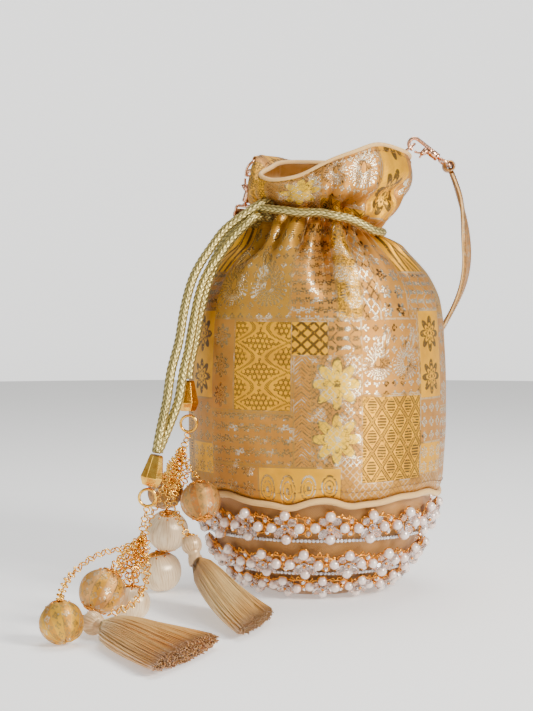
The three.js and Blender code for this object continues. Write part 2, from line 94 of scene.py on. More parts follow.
def even(points, step, closed=False):
    """The curve through the points, in steps of nearly equal length."""
    fine = spline(points, 40 * len(points), closed)
    if closed:
        fine = np.vstack([fine, fine[:1]])
    along = np.concatenate([[0], np.cumsum(np.linalg.norm(np.diff(fine, axis=0), axis=1))])
    count = max(3, int(round(along[-1] / step)) + 1)
    at = np.linspace(0, along[-1], count)
    out = np.stack([np.interp(at, along, fine[:, k]) for k in range(3)], 1)
    return out[:-1] if closed else out


def length_of(points):
    return float(np.linalg.norm(np.diff(points, axis=0), axis=1).sum())


def unit(v):
    v = np.asarray(v, float)
    return v / np.maximum(np.linalg.norm(v, axis=-1, keepdims=True), 1e-9)


def outward(points):
    """The level direction away from the bag's axis, at each point."""
    return unit(points * [1, 1, 0])


def frames(points, closed=False):
    """Tangent, side and up at each point of a line, turning as little as it can."""
    p = np.asarray(points, float)
    if closed:
        tangent = unit(np.roll(p, -1, 0) - np.roll(p, 1, 0))
    else:
        tangent = unit(np.gradient(p, axis=0))
    guess = (0, 0, 1) if abs(tangent[0][2]) < 0.9 else (1, 0, 0)
    up = unit(np.asarray(guess, float) - np.dot(guess, tangent[0]) * tangent[0])
    ups = [up]
    for t in tangent[1:]:
        up = unit(up - np.dot(up, t) * t)
        ups.append(up)
    ups = np.array(ups)
    if closed:  # shares out the twist left at the join
        last = unit(ups[-1] - np.dot(ups[-1], tangent[0]) * tangent[0])
        side = np.cross(tangent[0], ups[0])
        twist = math.atan2(np.dot(last, side), np.dot(last, ups[0]))
        turn = -twist * np.arange(len(p)) / len(p)
        sides = np.cross(tangent, ups)
        ups = ups * np.cos(turn)[:, None] + sides * np.sin(turn)[:, None]
    return tangent, np.cross(tangent, ups), ups


def basis(axis, level=(0, 0, 1)):
    """Two directions square to an axis and to each other, the second as near to level as it can be."""
    axis = unit(axis)
    if abs(np.dot(axis, level)) > 0.95:
        level = (1, 0, 0) if abs(axis[0]) < 0.9 else (0, 1, 0)
    a = unit(np.cross(level, axis))
    return a, np.cross(axis, a)


class Shape:
    """The points and faces of one piece, gathered part by part."""

    def __init__(self):
        self.points = []
        self.faces = []
        self.count = 0

    def add(self, points, faces):
        self.faces.extend(tuple(i + self.count for i in face) for face in faces)
        self.points.append(np.asarray(points, float))
        self.count += len(points)

    def tube(self, line, radius, sides=10, closed=False):
        """A wire along a line. radius may be one number or one for each point."""
        line = np.asarray(line, float)
        _, side, up = frames(line, closed)
        radius = np.broadcast_to(np.asarray(radius, float), (len(line),))
        turn = np.arange(sides) * 2 * math.pi / sides
        ring = np.cos(turn)[None, :, None] * side[:, None] + np.sin(turn)[None, :, None] * up[:, None]
        points = line[:, None] + radius[:, None, None] * ring
        self.add(points.reshape(-1, 3), tube_faces(len(line), sides, closed))

    def ring(self, centre, axis, radius, wire, steps=20, sides=8, stretch=1.0, level=(0, 0, 1)):
        """A round or oval ring of wire."""
        a, b = basis(axis, level)
        turn = np.arange(steps) * 2 * math.pi / steps
        outline = np.cos(turn)[:, None] * a + stretch * np.sin(turn)[:, None] * b
        self.tube(np.asarray(centre, float) + radius * outline, wire, sides, closed=True)

    def ball(self, centre, radius, around=14, high=9, axis=(0, 0, 1)):
        """A round bead, its poles on the axis."""
        a, b = basis(axis)
        c = unit(axis)
        down = (np.arange(1, high) * math.pi / high)[:, None]
        turn = (np.arange(around) * 2 * math.pi / around)[None, :]
        x, y, z = np.sin(down) * np.cos(turn), np.sin(down) * np.sin(turn), np.cos(down) + 0 * turn
        body = (x[..., None] * a + y[..., None] * b + z[..., None] * c).reshape(-1, 3)
        points = np.vstack([body, [c], [-c]]) * radius + np.asarray(centre, float)
        faces = wrapped_faces(high - 1, around, flip=True)
        top, bottom, last = len(body), len(body) + 1, (high - 2) * around
        for i in range(around):
            j = (i + 1) % around
            faces.append((top, i, j))
            faces.append((bottom, last + j, last + i))
        self.add(points, faces)

    def lathe(self, profile, centre, axis, steps=24, level=(0, 0, 1)):
        """A turned part: its profile is radius and height along the axis, starting and ending on it."""
        a, b = basis(axis, level)
        c = unit(axis)
        turn = np.arange(steps) * 2 * math.pi / steps
        around = np.cos(turn)[:, None] * a + np.sin(turn)[:, None] * b
        inner = np.asarray(profile[1:-1], float)
        points = inner[:, 0][:, None, None] * around[None] + inner[:, 1][:, None, None] * c
        points = points.reshape(-1, 3) + np.asarray(centre, float)
        ends = np.array([profile[0][1] * c, profile[-1][1] * c]) + np.asarray(centre, float)
        faces = wrapped_faces(len(inner), steps)
        first, last = len(points), len(points) + 1
        row = (len(inner) - 1) * steps
        for i in range(steps):
            j = (i + 1) % steps
            faces.append((first, j, i))
            faces.append((last, row + i, row + j))
        self.add(np.vstack([points, ends]), faces)

    def piece(self, name, material, slot, body=ROOT, smooth=True):
        return make_piece(name, np.vstack(self.points), self.faces, material, body, smooth)


def wrapped_faces(rows, columns, closed=False, flip=False):
    """The quads of a grid whose rows run round, and whose columns do too when closed."""
    faces = []
    for i in range(rows if closed else rows - 1):
        k = (i + 1) % rows
        for j in range(columns):
            m = (j + 1) % columns
            face = (i * columns + j, i * columns + m, k * columns + m, k * columns + j)
            faces.append(face[::-1] if flip else face)
    return faces


def tube_faces(rows, columns, closed=False):
    """The faces of a tube: its quads and, unless it is closed, a cap at each end."""
    faces = wrapped_faces(rows, columns, closed)
    if not closed:
        faces += [tuple(range(columns)), tuple(rows * columns - 1 - k for k in range(columns))]
    return faces


def make_piece(name, points, faces, material, body=ROOT, smooth=True, uv=None):
    """A Blender object from points in millimetres, riding on a CAD body."""
    mesh = bpy.data.meshes.new(name)
    mesh.from_pydata((np.asarray(points) * MM).tolist(), [], faces)
    if uv is not None:
        layer = mesh.uv_layers.new(name="cloth")
        corner = np.empty(len(mesh.loops), dtype=np.int32)
        mesh.loops.foreach_get("vertex_index", corner)
        layer.data.foreach_set("uv", uv[corner].astype(np.float32).ravel())
    mesh.validate()
    mesh.polygons.foreach_set("use_smooth", [smooth] * len(mesh.polygons))
    obj = bpy.data.objects.new(name, mesh)
    bpy.context.collection.objects.link(obj)
    mesh.materials.append(material)
    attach(obj, body)
    return obj


def thicken(obj, amount):
    """Gives a sheet its thickness, inwards from its outside."""
    solid = obj.modifiers.new("thickness", "SOLIDIFY")
    solid.thickness = amount * MM
    solid.offset = -1


# ---- Shader nodes ------------------------------------------------------------------------------


def colour(r, g, b):
    """A colour given as it looks, 0 to 255, in Blender's linear values."""

    def linear(c):
        c /= 255
        return c / 12.92 if c <= 0.04045 else ((c + 0.055) / 1.055) ** 2.4

    return (linear(r), linear(g), linear(b), 1)


def node(tree, kind, inputs=(), **settings):
    """A new node, with its inputs set or linked by name or by number."""
    made = tree.nodes.new(kind)
    for key, value in settings.items():
        setattr(made, key, value)
    for key, value in dict(inputs).items():
        connect(tree, made.inputs[key], value)
    return made


def connect(tree, socket, value):
    if isinstance(value, Num):
        tree.links.new(value.socket, socket)
    elif isinstance(value, bpy.types.NodeSocket):
        tree.links.new(value, socket)
    else:
        socket.default_value = value


class Num:
    """A number that varies over a surface. Arithmetic on it adds the nodes that work it out."""

    def __init__(self, socket):
        self.socket = socket

    def __add__(self, other):
        return calc("ADD", self, other)

    def __sub__(self, other):
        return calc("SUBTRACT", self, other)

    def __rsub__(self, other):
        return calc("SUBTRACT", other, self)

    def __mul__(self, other):
        return calc("MULTIPLY", self, other)

    def __truediv__(self, other):
        return calc("DIVIDE", self, other)

    def __gt__(self, other):
        return calc("GREATER_THAN", self, other)

    def __lt__(self, other):
        return calc("LESS_THAN", self, other)

    __radd__, __rmul__ = __add__, __mul__


def calc(operation, *values):
    tree = next(v for v in values if isinstance(v, Num)).socket.id_data
    return Num(node(tree, "ShaderNodeMath", enumerate(values), operation=operation).outputs[0])


def sine(x):
    return calc("SINE", x)


def fract(x):
    return calc("FRACT", x)


def size(x):
    return calc("ABSOLUTE", x)


def either(*masks):
    out = masks[0]
    for mask in masks[1:]:
        out = calc("MAXIMUM", out, mask)
    return out


def between(x, low, high):
    """1 where x lies between the two, and 0 elsewhere."""
    return calc("COMPARE", x, (low + high) / 2, (high - low) / 2)


def repeat(x, pitch):
    """Distance from the middle of the nearest cell, cells being pitch wide and starting at 0."""
    return (fract(x * (1 / pitch)) - 0.5) * pitch


def far(x, y):
    return calc("SQRT", x * x + y * y)


def soft(x, low, high):
    """0 below low and 1 above high, with a smooth ramp."""
    tree = x.socket.id_data
    inputs = {0: x, 1: low, 2: high}
    return Num(node(tree, "ShaderNodeMapRange", inputs, interpolation_type="SMOOTHSTEP").outputs[0])


class Surface:
    """A material in the making. Places and wavelengths are in millimetres."""

    def __init__(self, name, **sockets):
        self.material = bpy.data.materials.new(name)
        self.material.use_nodes = True
        self.tree = self.material.node_tree
        self.shader = self.tree.nodes["Principled BSDF"]
        self.where = node(self.tree, "ShaderNodeTexCoord").outputs["Object"]
        self.put(**sockets)

    def put(self, **sockets):
        """Sets or links the shader's inputs. Base_Color is its Base Color."""
        for key, value in sockets.items():
            connect(self.tree, self.shader.inputs[key.replace("_", " ")], value)

    def place(self):
        """x, y and z on the piece."""
        parts = node(self.tree, "ShaderNodeSeparateXYZ", {0: self.where}).outputs
        return [Num(part) * (1 / MM) for part in parts]

    def cloth(self):
        """u and v of the piece's cloth layer."""
        layer = node(self.tree, "ShaderNodeUVMap", uv_map="cloth").outputs[0]
        parts = node(self.tree, "ShaderNodeSeparateXYZ", {0: layer}).outputs
        return Num(parts[0]), Num(parts[1])

    def at(self, x, y):
        return node(self.tree, "ShaderNodeCombineXYZ", {0: x, 1: y}).outputs[0]

    def noise(self, wave, detail, at=None):
        """A noise from 0 to 1, of the given wavelength."""
        scale = 1 / wave if at else 1 / (wave * MM)
        inputs = {"Vector": at or self.where, "Scale": scale, "Detail": detail}
        return Num(node(self.tree, "ShaderNodeTexNoise", inputs).outputs[0])

    def cells(self, wave):
        """A random number from 0 to 1 for each cell."""
        inputs = {"Vector": self.where, "Scale": 1 / (wave * MM)}
        tint = node(self.tree, "ShaderNodeTexVoronoi", inputs).outputs["Color"]
        return Num(node(self.tree, "ShaderNodeSeparateXYZ", {0: tint}).outputs[0])

    def mix(self, mask, under, over):
        """The under colour where mask is 0, and the over colour where it is 1."""
        made = node(self.tree, "ShaderNodeMix", {0: mask, 6: under, 7: over}, data_type="RGBA")
        return made.outputs[2]

    def bump(self, height, depth):
        """Roughens the surface by a height from 0 to 1, times a depth in millimetres."""
        inputs = {"Height": height, "Distance": depth * MM, "Strength": 1.0}
        self.put(Normal=node(self.tree, "ShaderNodeBump", inputs).outputs[0])

    def weave(self, u, v, pitch):
        """The height of a plain weave, its threads pitch apart."""
        over = sine(u * (math.pi / pitch)) * sine(v * (math.pi / pitch))
        return over * 0.5 + 0.5


# ---- Brocade -----------------------------------------------------------------------------------

OCHRE = colour(190, 140, 48)
PEACH = colour(198, 138, 58)
YELLOW = colour(246, 178, 12)
SILVER = colour(214, 206, 178)
PEWTER = colour(58, 46, 28)
BRIGHT_GOLD = colour(252, 200, 30)
TILE = 140.3  # width of one repeat of the patchwork round the bag
TILE_START = -61


def flower(x, y, petals, radius):
    """How far out a point is on a flower: 1 on its petals' outline."""
    angle = calc("ARCTAN2", y, x)
    lobes = calc("ABSOLUTE", calc("COSINE", angle * (petals / 2)))
    return far(x, y) / (lobes * (0.5 * radius) + 0.5 * radius)


def paisley(x, y, radius, lean):
    """How far out a point is on a curled drop: 1 on its outline. Its tip curls over to one side."""
    rise = calc("MAXIMUM", y * (1 / radius), -0.2)
    x = x - rise * rise * (0.30 * radius * lean)
    narrow = 1.0 - rise * 0.46
    wide = calc("MAXIMUM", narrow, 0.08) * (0.62 * radius)
    tall = calc("MULTIPLY_ADD", y > 0, 1.15 * radius, 0.62 * radius)
    return far(x / wide, y / tall)


def lattice(u, v, wide, tall, line):
    """Crossed diagonal lines, as a share of the diamond."""
    a = fract(u * (1 / wide) + v * (1 / tall))
    b = fract(u * (1 / wide) - v * (1 / tall))
    edge = calc("MINIMUM", size(a - 0.5), size(b - 0.5))
    return edge < line


def double_lattice(u, v, wide, tall):
    """Crossed pairs of lines, with a hatched diamond in the middle of each cell."""
    a = size(fract(u * (1 / wide) + v * (1 / tall)) - 0.5)
    b = size(fract(u * (1 / wide) - v * (1 / tall)) - 0.5)
    edge = calc("MINIMUM", a, b)
    centre = far(0.5 - a, 0.5 - b)
    hatch = fract(v * (1 / 1.4)) < 0.7
    return either(between(edge, 0.045, 0.12), edge < 0.018, (centre < 0.34) * hatch)


def florets(u, v, pitch, radius, petals=4):
    """Small flowers in straight rows."""
    x, y = repeat(u, pitch), repeat(v, pitch)
    out = flower(x, y, petals, radius)
    return either(between(out, 0.42, 1), out < 0.2)


def scattered(u, v, pitch, radius, petals=6):
    """Small flowers in staggered rows, with a seed between each two."""
    odd = fract(v * (0.5 / pitch)) < 0.5
    x, y = repeat(u + odd * (pitch / 2), pitch), repeat(v - pitch / 2, pitch)
    out = flower(x, y, petals, radius)
    seed = far(size(x) - pitch / 2, y) < 0.16 * pitch
    return either(between(out, 0.34, 1), seed)


def rosettes(u, v, pitch):
    """Large outlined flowers with eight petals."""
    out = flower(repeat(u, pitch), repeat(v, pitch), 8, 0.42 * pitch)
    return either(between(out, 0.6, 1), between(out, 0.3, 0.42), out < 0.12)


def ogees(u, v):
    """Ribbed bands that cross as sine curves, with clusters of small flowers between them."""
    pitch, swing, band, margin = 29.5, 11, 1.1, 3.2
    x = repeat(u + 29.75, pitch)
    wave = sine(v * (2 * math.pi / 29)) * swing
    nearest = calc("MINIMUM", size(x - wave), size(x + wave))
    ribs = fract((u + v) * 0.9) < 0.62
    seeds = scattered(u, v, 2.5, 1.25, 4)
    return either((nearest < band) * ribs, seeds * (nearest > margin))


def arches(u, v):
    """A row of upright ovals, one inside the other."""
    x, y = repeat(u + 31, 10.3), v - 54
    out = far(x * 1.25, y * 0.75 - 4.5) / 5
    return either(between(out, 0.82, 1), between(out, 0.5, 0.6), out < 0.22)


def vines(u, v):
    """Waving stems with leaves on both sides."""
    x = repeat(u - 4, 8)
    stem = size(x - sine(v * (2 * math.pi / 9)) * 1.6) < 0.45
    leaf = flower(size(x) - 2.2, repeat(v, 4.5), 2, 2.0)
    return either(stem, leaf < 0.9)


def zigzag(u, v):
    """Chevrons, a broad line and a thin one in turn."""
    y = repeat(v, 7.6) + size(repeat(u + 12.6, 8.1)) * 0.9
    return either(between(fract(y * 0.26), 0.1, 0.3), between(fract(y * 0.26), 0.6, 0.68))


def drops(u, v, middle_v, span, radius, lean):
    """Curled drops with lines and dots inside, span apart."""
    x = repeat(u, span)
    y = v - middle_v
    out = paisley(x, y, radius, lean)
    rays = fract(calc("ARCTAN2", y, x) * (26 / (2 * math.pi))) < 0.55
    inside = either(between(out, 0.74, 0.80), between(out, 0.46, 0.52), between(out, 0.18, 0.26))
    seeds = lattice(u, v, 2.2, 2.4, 0.22) * between(out, 0.28, 0.44)
    fringe = rays * either(between(out, 0.84, 1.08), between(out, 0.55, 0.71))
    return either(inside, seeds, fringe, florets(u, v, 5.4, 1.9) * (out > 1.2))


# Each panel of the patchwork: its ground, its thread, where it lies on the cloth (left, right, low,
# high) and its pattern. Along the cloth, u runs round from the front and v up from the floor.
PANELS = [
    (PEACH, SILVER, (-61, -46, 97, 141), lambda u, v: rosettes(u + 61, v - 97, 14.6)),
    (YELLOW, PEWTER, (-45, -14.5, 97, 140), ogees),
    (YELLOW, PEWTER, (-14, 3.5, 124, 140), lambda u, v: lattice(u, v, 6, 5.4, 0.16)),
    (PEACH, SILVER, (4, 20, 124, 141), vines),
    (PEACH, SILVER, (-12.6, -4.5, 70, 123.5), zigzag),
    (PEACH, SILVER, (21, 56, 105, 141), lambda u, v: drops(u - 21, v, 120, 17.5, 12, 1)),
    (YELLOW, PEWTER, (21, 57, 62, 103.5), lambda u, v: double_lattice(u - 21, v - 62, 11, 15)),
    (YELLOW, PEWTER, (58, 79, 102, 145), lambda u, v: rosettes(u - 58, v - 102, 21.5)),
    (PEACH, SILVER, (-61, -13.5, 71, 95), lambda u, v: scattered(u + 61, v - 71, 6, 2.5)),
    (YELLOW, SILVER, (-31, 10, 54, 69), arches),
    (PEACH, SILVER, (-61, -32, 54, 69), lambda u, v: rosettes(u + 61, v - 54, 9.7)),
    (PEACH, SILVER, (58, 79, 80, 101), lambda u, v: florets(u - 58, v - 80, 7, 2.6)),
    (YELLOW, SILVER, (58, 79, 64, 79), lambda u, v: rosettes(u - 58, v - 64, 7.5)),
    (OCHRE, SILVER, (-61, -16, 142, 206), lambda u, v: drops(u + 61, v, 158, 22.5, 15, -1)),
    (PEACH, SILVER, (-15, 8, 142, 206), lambda u, v: scattered(u + 15, v - 142, 4.6, 2.0)),
    (YELLOW, SILVER, (9, 21, 142, 206), lambda u, v: double_lattice(u - 9, v - 142, 6, 8)),
    (PEACH, SILVER, (22, 31, 142, 206), lambda u, v: lattice(u, v, 4.5, 6, 0.13)),
    (PEACH, SILVER, (32, 50, 142, 206), lambda u, v: florets(u - 32, v - 142, 9, 3.8, 6)),
    (YELLOW, PEWTER, (51, 79, 166, 206), lambda u, v: fract(u * 0.28) < 0.4),
    (PEACH, SILVER, (51, 79, 146, 165), lambda u, v: vines(u * 1.2, v)),
]


def brocade_parts(surface, u, v):
    """The brocade's colours at cloth point u, v: its colour and where its metal thread shows."""
    u = calc("WRAP", u, TILE_START + TILE, TILE_START)
    warp = surface.noise(16, 1, surface.at(u, v)) * 1.2
    x, y = u + warp, v + warp
    ground = surface.mix(surface.noise(60, 1), OCHRE, PEACH)
    silver = lattice(x, y, 3.4, 3.4, 0.1) * 0.5
    dark = None
    for base, thread, (left, right, low, high), motif in PANELS:
        inside = between(u, left, right) * between(v, low, high)
        ground = surface.mix(inside, ground, base)
        print_here = motif(x, y) * inside
        silver = silver * (1 - inside)
        if thread is SILVER:
            silver = either(silver, print_here)
        else:
            dark = either(dark, print_here) if dark else print_here
        frame_at = calc("MAXIMUM", size(u - (left + right) / 2) - (right - left) / 2,
                        size(v - (low + high) / 2) - (high - low) / 2)
        border = between(frame_at, 0.05, 0.55) * 0.55
        silver = either(silver, border)
    return ground, silver, dark


def big_flowers(surface, ground, u, v):
    """The two large blossoms at the front, gold outlined in silver."""
    u = calc("WRAP", u, TILE_START + TILE, TILE_START)
    inside = between(u, -4, 20) * between(v, 70, 123.5)
    out = flower(u - 8, repeat(v - 70, 26.7), 8, 12.5)
    ground = surface.mix(inside, ground, PEACH)
    ground = surface.mix(inside * (out < 1), ground, BRIGHT_GOLD)
    lines = either(between(out, 0.92, 1.06), between(out, 0.5, 0.56), out < 0.16)
    return ground, inside * either(lines, lattice(u, v, 3, 3, 0.12) * (out > 1.15))


def brocade():
    surface = Surface("brocade", IOR=1.35)
    u, v = surface.cloth()
    ground, silver, dark = brocade_parts(surface, u, v)
    ground, blossom = big_flowers(surface, ground, u, v)
    silver = either(silver, blossom)
    return woven_metal(surface, ground, silver, dark, u, v)


def woven_metal(surface, ground, silver, dark, u, v):
    """Finishes a brocade: gold ground threads, silver and dark metal thread, worn unevenly, with painted
    glints and painted reflections on the silver thread.
    """
    worn = surface.noise(1.1, 2)
    shade = surface.noise(9, 2)
    silver = silver * soft(worn, 0.36, 0.44)
    tint = surface.mix(soft(shade, 0.35, 0.75) * 0.35, ground, colour(156, 96, 34))
    ribs = sine(v * (2 * math.pi / 0.5)) * 0.5 + 0.5
    tint = surface.mix(ribs * 0.3, tint, colour(150, 92, 30))
    if dark:
        tint = surface.mix(dark * soft(worn, 0.3, 0.4) * 0.88, tint, PEWTER)
    # Painted reflection on the silver thread: bright silver where a noise, rising towards the right, lifts
    # it, and elsewhere a painted dull reflection, grey-olive on the left and dark pewter on the right.
    glint = surface.noise(7, 2) + u * 0.0022
    painted_dull_reflection = surface.mix(soft(u, -20, 30), colour(146, 126, 84), PEWTER)
    silver_painted_glints = surface.mix(soft(glint, 0.46, 0.60), painted_dull_reflection, SILVER)
    tint = surface.mix(silver * 0.85, tint, silver_painted_glints)
    surface.put(Base_Color=tint, Metallic=silver * 0.35 + 0.6, Roughness=0.42 - silver * 0.16)
    crinkle = surface.noise(3.2, 3)
    surface.bump(ribs * 0.22 + crinkle * 0.6 + silver * 0.25, 0.3)
    return surface.material


# ---- Plainer materials -------------------------------------------------------------------------


THREAD_TURN_R = 60  # the radius at which a plain cloth's threads are as wide as they are high


def cloth(name, light, dark, pitch=0.7, roughness=0.62):
    """A plain woven cloth, its threads running round the bag and up it, with painted shade in the hollows
    between them.
    """
    surface = Surface(name, Roughness=roughness, IOR=1.45, Sheen_Weight=0.3, Sheen_Roughness=0.4)
    x, y, z = surface.place()
    around = calc("ARCTAN2", y, x) * THREAD_TURN_R
    threads = surface.weave(around, z, pitch)
    tone = surface.noise(14, 3)
    tint = surface.mix(tone, colour(*light), colour(*dark))
    # Painted shade: where the weave is low, between the threads, the colour is darkened towards the dark one.
    surface.put(Base_Color=surface.mix((1 - threads) * 0.25, tint, colour(*dark)))
    surface.bump(threads * 0.5 + surface.noise(3, 2) * 0.5, 0.2)
    return surface.material


def metal(name, tint, darker, roughness, wave=3.0):
    """Plated metal, slightly uneven, darker where it is rubbed."""
    surface = Surface(name, Metallic=1.0)
    rub = surface.noise(wave, 3)
    surface.put(Base_Color=surface.mix(soft(rub, 0.35, 0.75), colour(*tint), colour(*darker)))
    surface.put(Roughness=rub * 0.16 + (roughness - 0.06))
    surface.bump(surface.noise(wave * 0.3, 2), 0.03)
    return surface.material


def knitted(name, light, dark):
    """Metallic yarn of a knitted cord: v is 0 in the grooves between stitches and 1 on their crowns. The
    grooves are painted dark as shade and the crowns paler as painted highlight.
    """
    surface = Surface(name, Metallic=0.75, IOR=1.5)
    _, v = surface.cloth()
    fibre = surface.noise(0.35, 2)
    # Painted shade and highlight: dark in the grooves between stitches, light on their crowns.
    tint = surface.mix(soft(v + fibre * 0.5, 0.3, 1.1), colour(*dark), colour(*light))
    surface.put(Base_Color=tint, Roughness=0.5 - v * 0.22)
    surface.bump(fibre, 0.1)
    return surface.material


def thread(name, light, dark):
    """Sewing thread: fine fibres, lighter where they stand high as painted glints, and darker between them as
    painted shade.
    """
    surface = Surface(name, IOR=1.5)
    glint = surface.noise(0.4, 2)
    # Painted glints and shade: the same noise that raises the fibres lightens them, and darkens the hollows
    # between.
    tint = surface.mix(soft(glint, 0.4, 0.62), colour(*dark), colour(*light))
    surface.put(Base_Color=tint, Roughness=0.5 - glint * 0.3)
    surface.bump(glint, 0.12)
    return surface.material


def pearl():
    """Lacquered pearl, pinker in patches."""
    surface = Surface("pearl", Roughness=0.2, Metallic=0.3, IOR=1.7, Coat_Weight=1.0, Coat_Roughness=0.05)
    tone = surface.noise(5, 1)
    cream = surface.mix(soft(tone, 0.35, 0.65), colour(246, 230, 220), colour(236, 208, 194))
    surface.put(Base_Color=cream)
    surface.bump(surface.noise(1.2, 1), 0.015)
    return surface.material


def crystal():
    """Clear faceted glass, hardly tinted."""
    surface = Surface("crystal", Roughness=0.03, IOR=1.5, Transmission_Weight=0.9,
                      Coat_Weight=0.8, Coat_Roughness=0.03)
    tone = surface.noise(4, 1)
    surface.put(Base_Color=surface.mix(tone, colour(255, 252, 250), colour(255, 240, 236)))
    surface.bump(surface.noise(0.9, 1), 0.03)
    return surface.material


def crystal_stone():
    """Foil-backed stones, a little different from one to the next."""
    surface = Surface("clear_stones", Roughness=0.05, IOR=1.7, Metallic=0.35)
    surface.put(Base_Color=surface.mix(surface.cells(2), colour(250, 250, 252), colour(190, 192, 200)))
    return surface.material


def stone():
    """The silvery cups that hold the stones."""
    surface = Surface("stones", Metallic=0.75, Roughness=0.12, IOR=1.6)
    surface.put(Base_Color=surface.mix(surface.cells(1.1), colour(236, 238, 240), colour(168, 172, 180)))
    surface.bump(surface.noise(1.5, 0), 0.02)
    return surface.material


def strap_brocade():
    """The strap's narrow brocade: small silver florets and edge lines on peach gold."""
    surface = Surface("strap_brocade", IOR=1.5)
    u, v = surface.cloth()
    ground = surface.mix(surface.noise(20, 2), colour(196, 132, 64), colour(222, 164, 88))
    print_here = either(florets(u + 2, v, 4.2, 1.8), between(size(u), 3.9, 4.2))
    return woven_metal(surface, ground, print_here * 0.8, None, u, v)


def silk(name, light, dark):
    """Silk yarn laid along its cloth layer's v, each strand across u."""
    surface = Surface(name, Roughness=0.34, IOR=1.5, Metallic=0.25, Sheen_Weight=0.35,
                      Sheen_Roughness=0.3, Anisotropic=0.4)
    u, v = surface.cloth()
    streak = surface.noise(0.5, 3, surface.at(u, v * 0.05))
    tint = surface.mix(soft(streak, 0.3, 0.62), colour(*dark), colour(*light))
    surface.put(Base_Color=tint)
    surface.bump(streak, 0.12)
    return surface.material


def tassel_silk(name, light, root, end):
    """Loose silk strands: v runs from 0 at the tie to 1 at the cut end, u is random per strand."""
    surface = Surface(name, Roughness=0.34, IOR=1.5, Metallic=0.2, Sheen_Weight=0.4, Sheen_Roughness=0.3)
    u, v = surface.cloth()
    along = surface.mix(soft(v, 0.0, 0.45), colour(*root), colour(*light))
    along = surface.mix(soft(v, 0.55, 1.0), along, colour(*end))
    surface.put(Base_Color=surface.mix(u * 0.35, along, colour(*root)))
    surface.bump(surface.noise(0.4, 2), 0.05)
    return surface.material


def ball_brocade(name, light, dark, pitch):
    """A striped and flowered brocade for a stuffed ball: u runs round it and v from pole to pole."""
    surface = Surface(name, IOR=1.5)
    u, v = surface.cloth()
    across = u + surface.noise(3, 1) * 1.5
    stripe = between(fract(across * (1 / pitch)), 0.1, 0.5)
    petals = florets(across, v, pitch * 0.5, pitch * 0.2)
    ground = surface.mix(stripe, colour(*light), colour(*dark))
    shine = either(petals, between(fract(across * (1 / pitch)), 0.04, 0.1))
    return woven_metal(surface, ground, shine * 0.8, None, across, v)


BROCADE = brocade()
LINING = cloth("lining", (250, 218, 160), (232, 188, 124))
PIPING = cloth("piping", (238, 200, 130), (208, 156, 84), 0.5)
BOWL_CLOTH = cloth("bowl_cloth", (200, 148, 80), (142, 92, 40), 0.6, 0.46)
GOLD = metal("gold", (250, 196, 84), (222, 152, 44), 0.16)
FILIGREE = metal("filigree", (246, 172, 64), (184, 104, 28), 0.2, 2.0)
ROSE_GOLD = metal("rose_gold", (236, 186, 152), (206, 142, 106), 0.18)
PEARL = pearl()
CRYSTAL = crystal()
STONE = stone()
# The cord's dark colour is painted shade for the grooves between stitches.
CORD = knitted("metallic_cord", (214, 194, 118), (58, 44, 16))
STRAP_CLOTH = strap_brocade()
STITCH = thread("stitch_thread", (150, 104, 52), (96, 60, 26))
IVORY = silk("ivory_silk", (240, 218, 180), (206, 172, 128))
HEAD_SILK = silk("head_silk", (232, 200, 154), (178, 136, 88))
TASSEL_PALE = tassel_silk("tassel_pale", (246, 212, 142), (204, 152, 82), (226, 172, 92))
TASSEL_TAN = tassel_silk("tassel_tan", (240, 182, 96), (244, 210, 146), (216, 142, 44))
CRYSTAL_STONE = crystal_stone()


# ---- The brocade's shape -----------------------------------------------------------------------

# The body's outside below the neck, before the neck is tilted: radius, height.
BODY_SIDE = [
    (63.4, 53), (65.6, 58), (66.4, 70), (67, 84), (67, 100), (66.8, 114), (66, 129), (65, 142),
    (62, 156), (56, 167.5), (49, 176), (41.7, 184),
]
NECK_Z = 190
NECK_DROP_TO_RIGHT = 7
NECK_RISE_TO_BACK = 3

# The ruffle: at each angle from the right side towards the back, in degrees, its points from the
# tied neck to the rim.
RUFFLE = {
    0: [(33, 0, 184), (37, -1, 190), (43.5, -1, 199.5), (49, 0, 211), (48.2, 1, 223.5)],
    30: [(29, 17, 185), (34, 19, 194), (40, 20, 206), (43, 17, 216), (42, 14, 221)],
    60: [(17, 30, 188), (20, 35, 200), (23, 35, 212), (24, 30, 220), (24, 22, 222)],
    110: [(-12, 31, 192), (-13, 35, 203), (-12, 34, 214), (-9, 26, 222.5), (-2, 10, 222)],
    150: [(-30, 17, 197), (-33, 18, 206), (-33, 15, 216), (-28, 8, 225), (-18, -6, 220.5)],
    180: [(-35.5, 0, 197), (-36.5, -3, 205), (-36, -7, 214), (-31, -12, 222.5), (-24, -17, 217)],
    205: [(-32, -15, 197.5), (-35, -19, 201), (-35, -24, 206), (-32.5, -28, 210), (-29, -28.5, 212.5)],
    225: [(-25, -25, 197), (-26, -31, 200), (-27, -34, 204), (-26, -35, 207.5), (-22.5, -34.5, 209.5)],
    245: [(-12, -31, 195), (-13, -38, 198.5), (-13, -41, 203), (-12, -40, 208), (-9.5, -38, 211.5)],
    270: [(4, -33, 193), (4, -40, 199), (5, -44, 206), (5, -42, 213), (5.5, -37, 219)],
    290: [(13, -31, 190), (15, -38, 196), (17, -43, 205), (18, -40, 215), (17, -34, 223.5)],
    310: [(22, -25, 187), (26, -32, 192), (31, -36, 203), (33, -33, 216), (30, -27, 228)],
    335: [(31, -13, 184), (36, -17, 190), (43, -19, 200), (47, -17, 213), (44, -15, 225.5)],
}

# The gathers that show most: angle, half width in degrees, depth, and the height they reach down to.
GATHERS = [
    (-86.8, 3.4, 4.5, 152), (-119, 3.5, 2.6, 174), (-102.5, 3.5, 2.6, 172), (-135, 6, 3.6, 168),
    (-69, 4, 2.2, 168), (-59, 3, 2.4, 166), (-50, 3, 2.4, 170), (-41, 3.5, 2.8, 158),
    (-28, 4, 2.6, 162), (-14, 4, 2.4, 168),
]

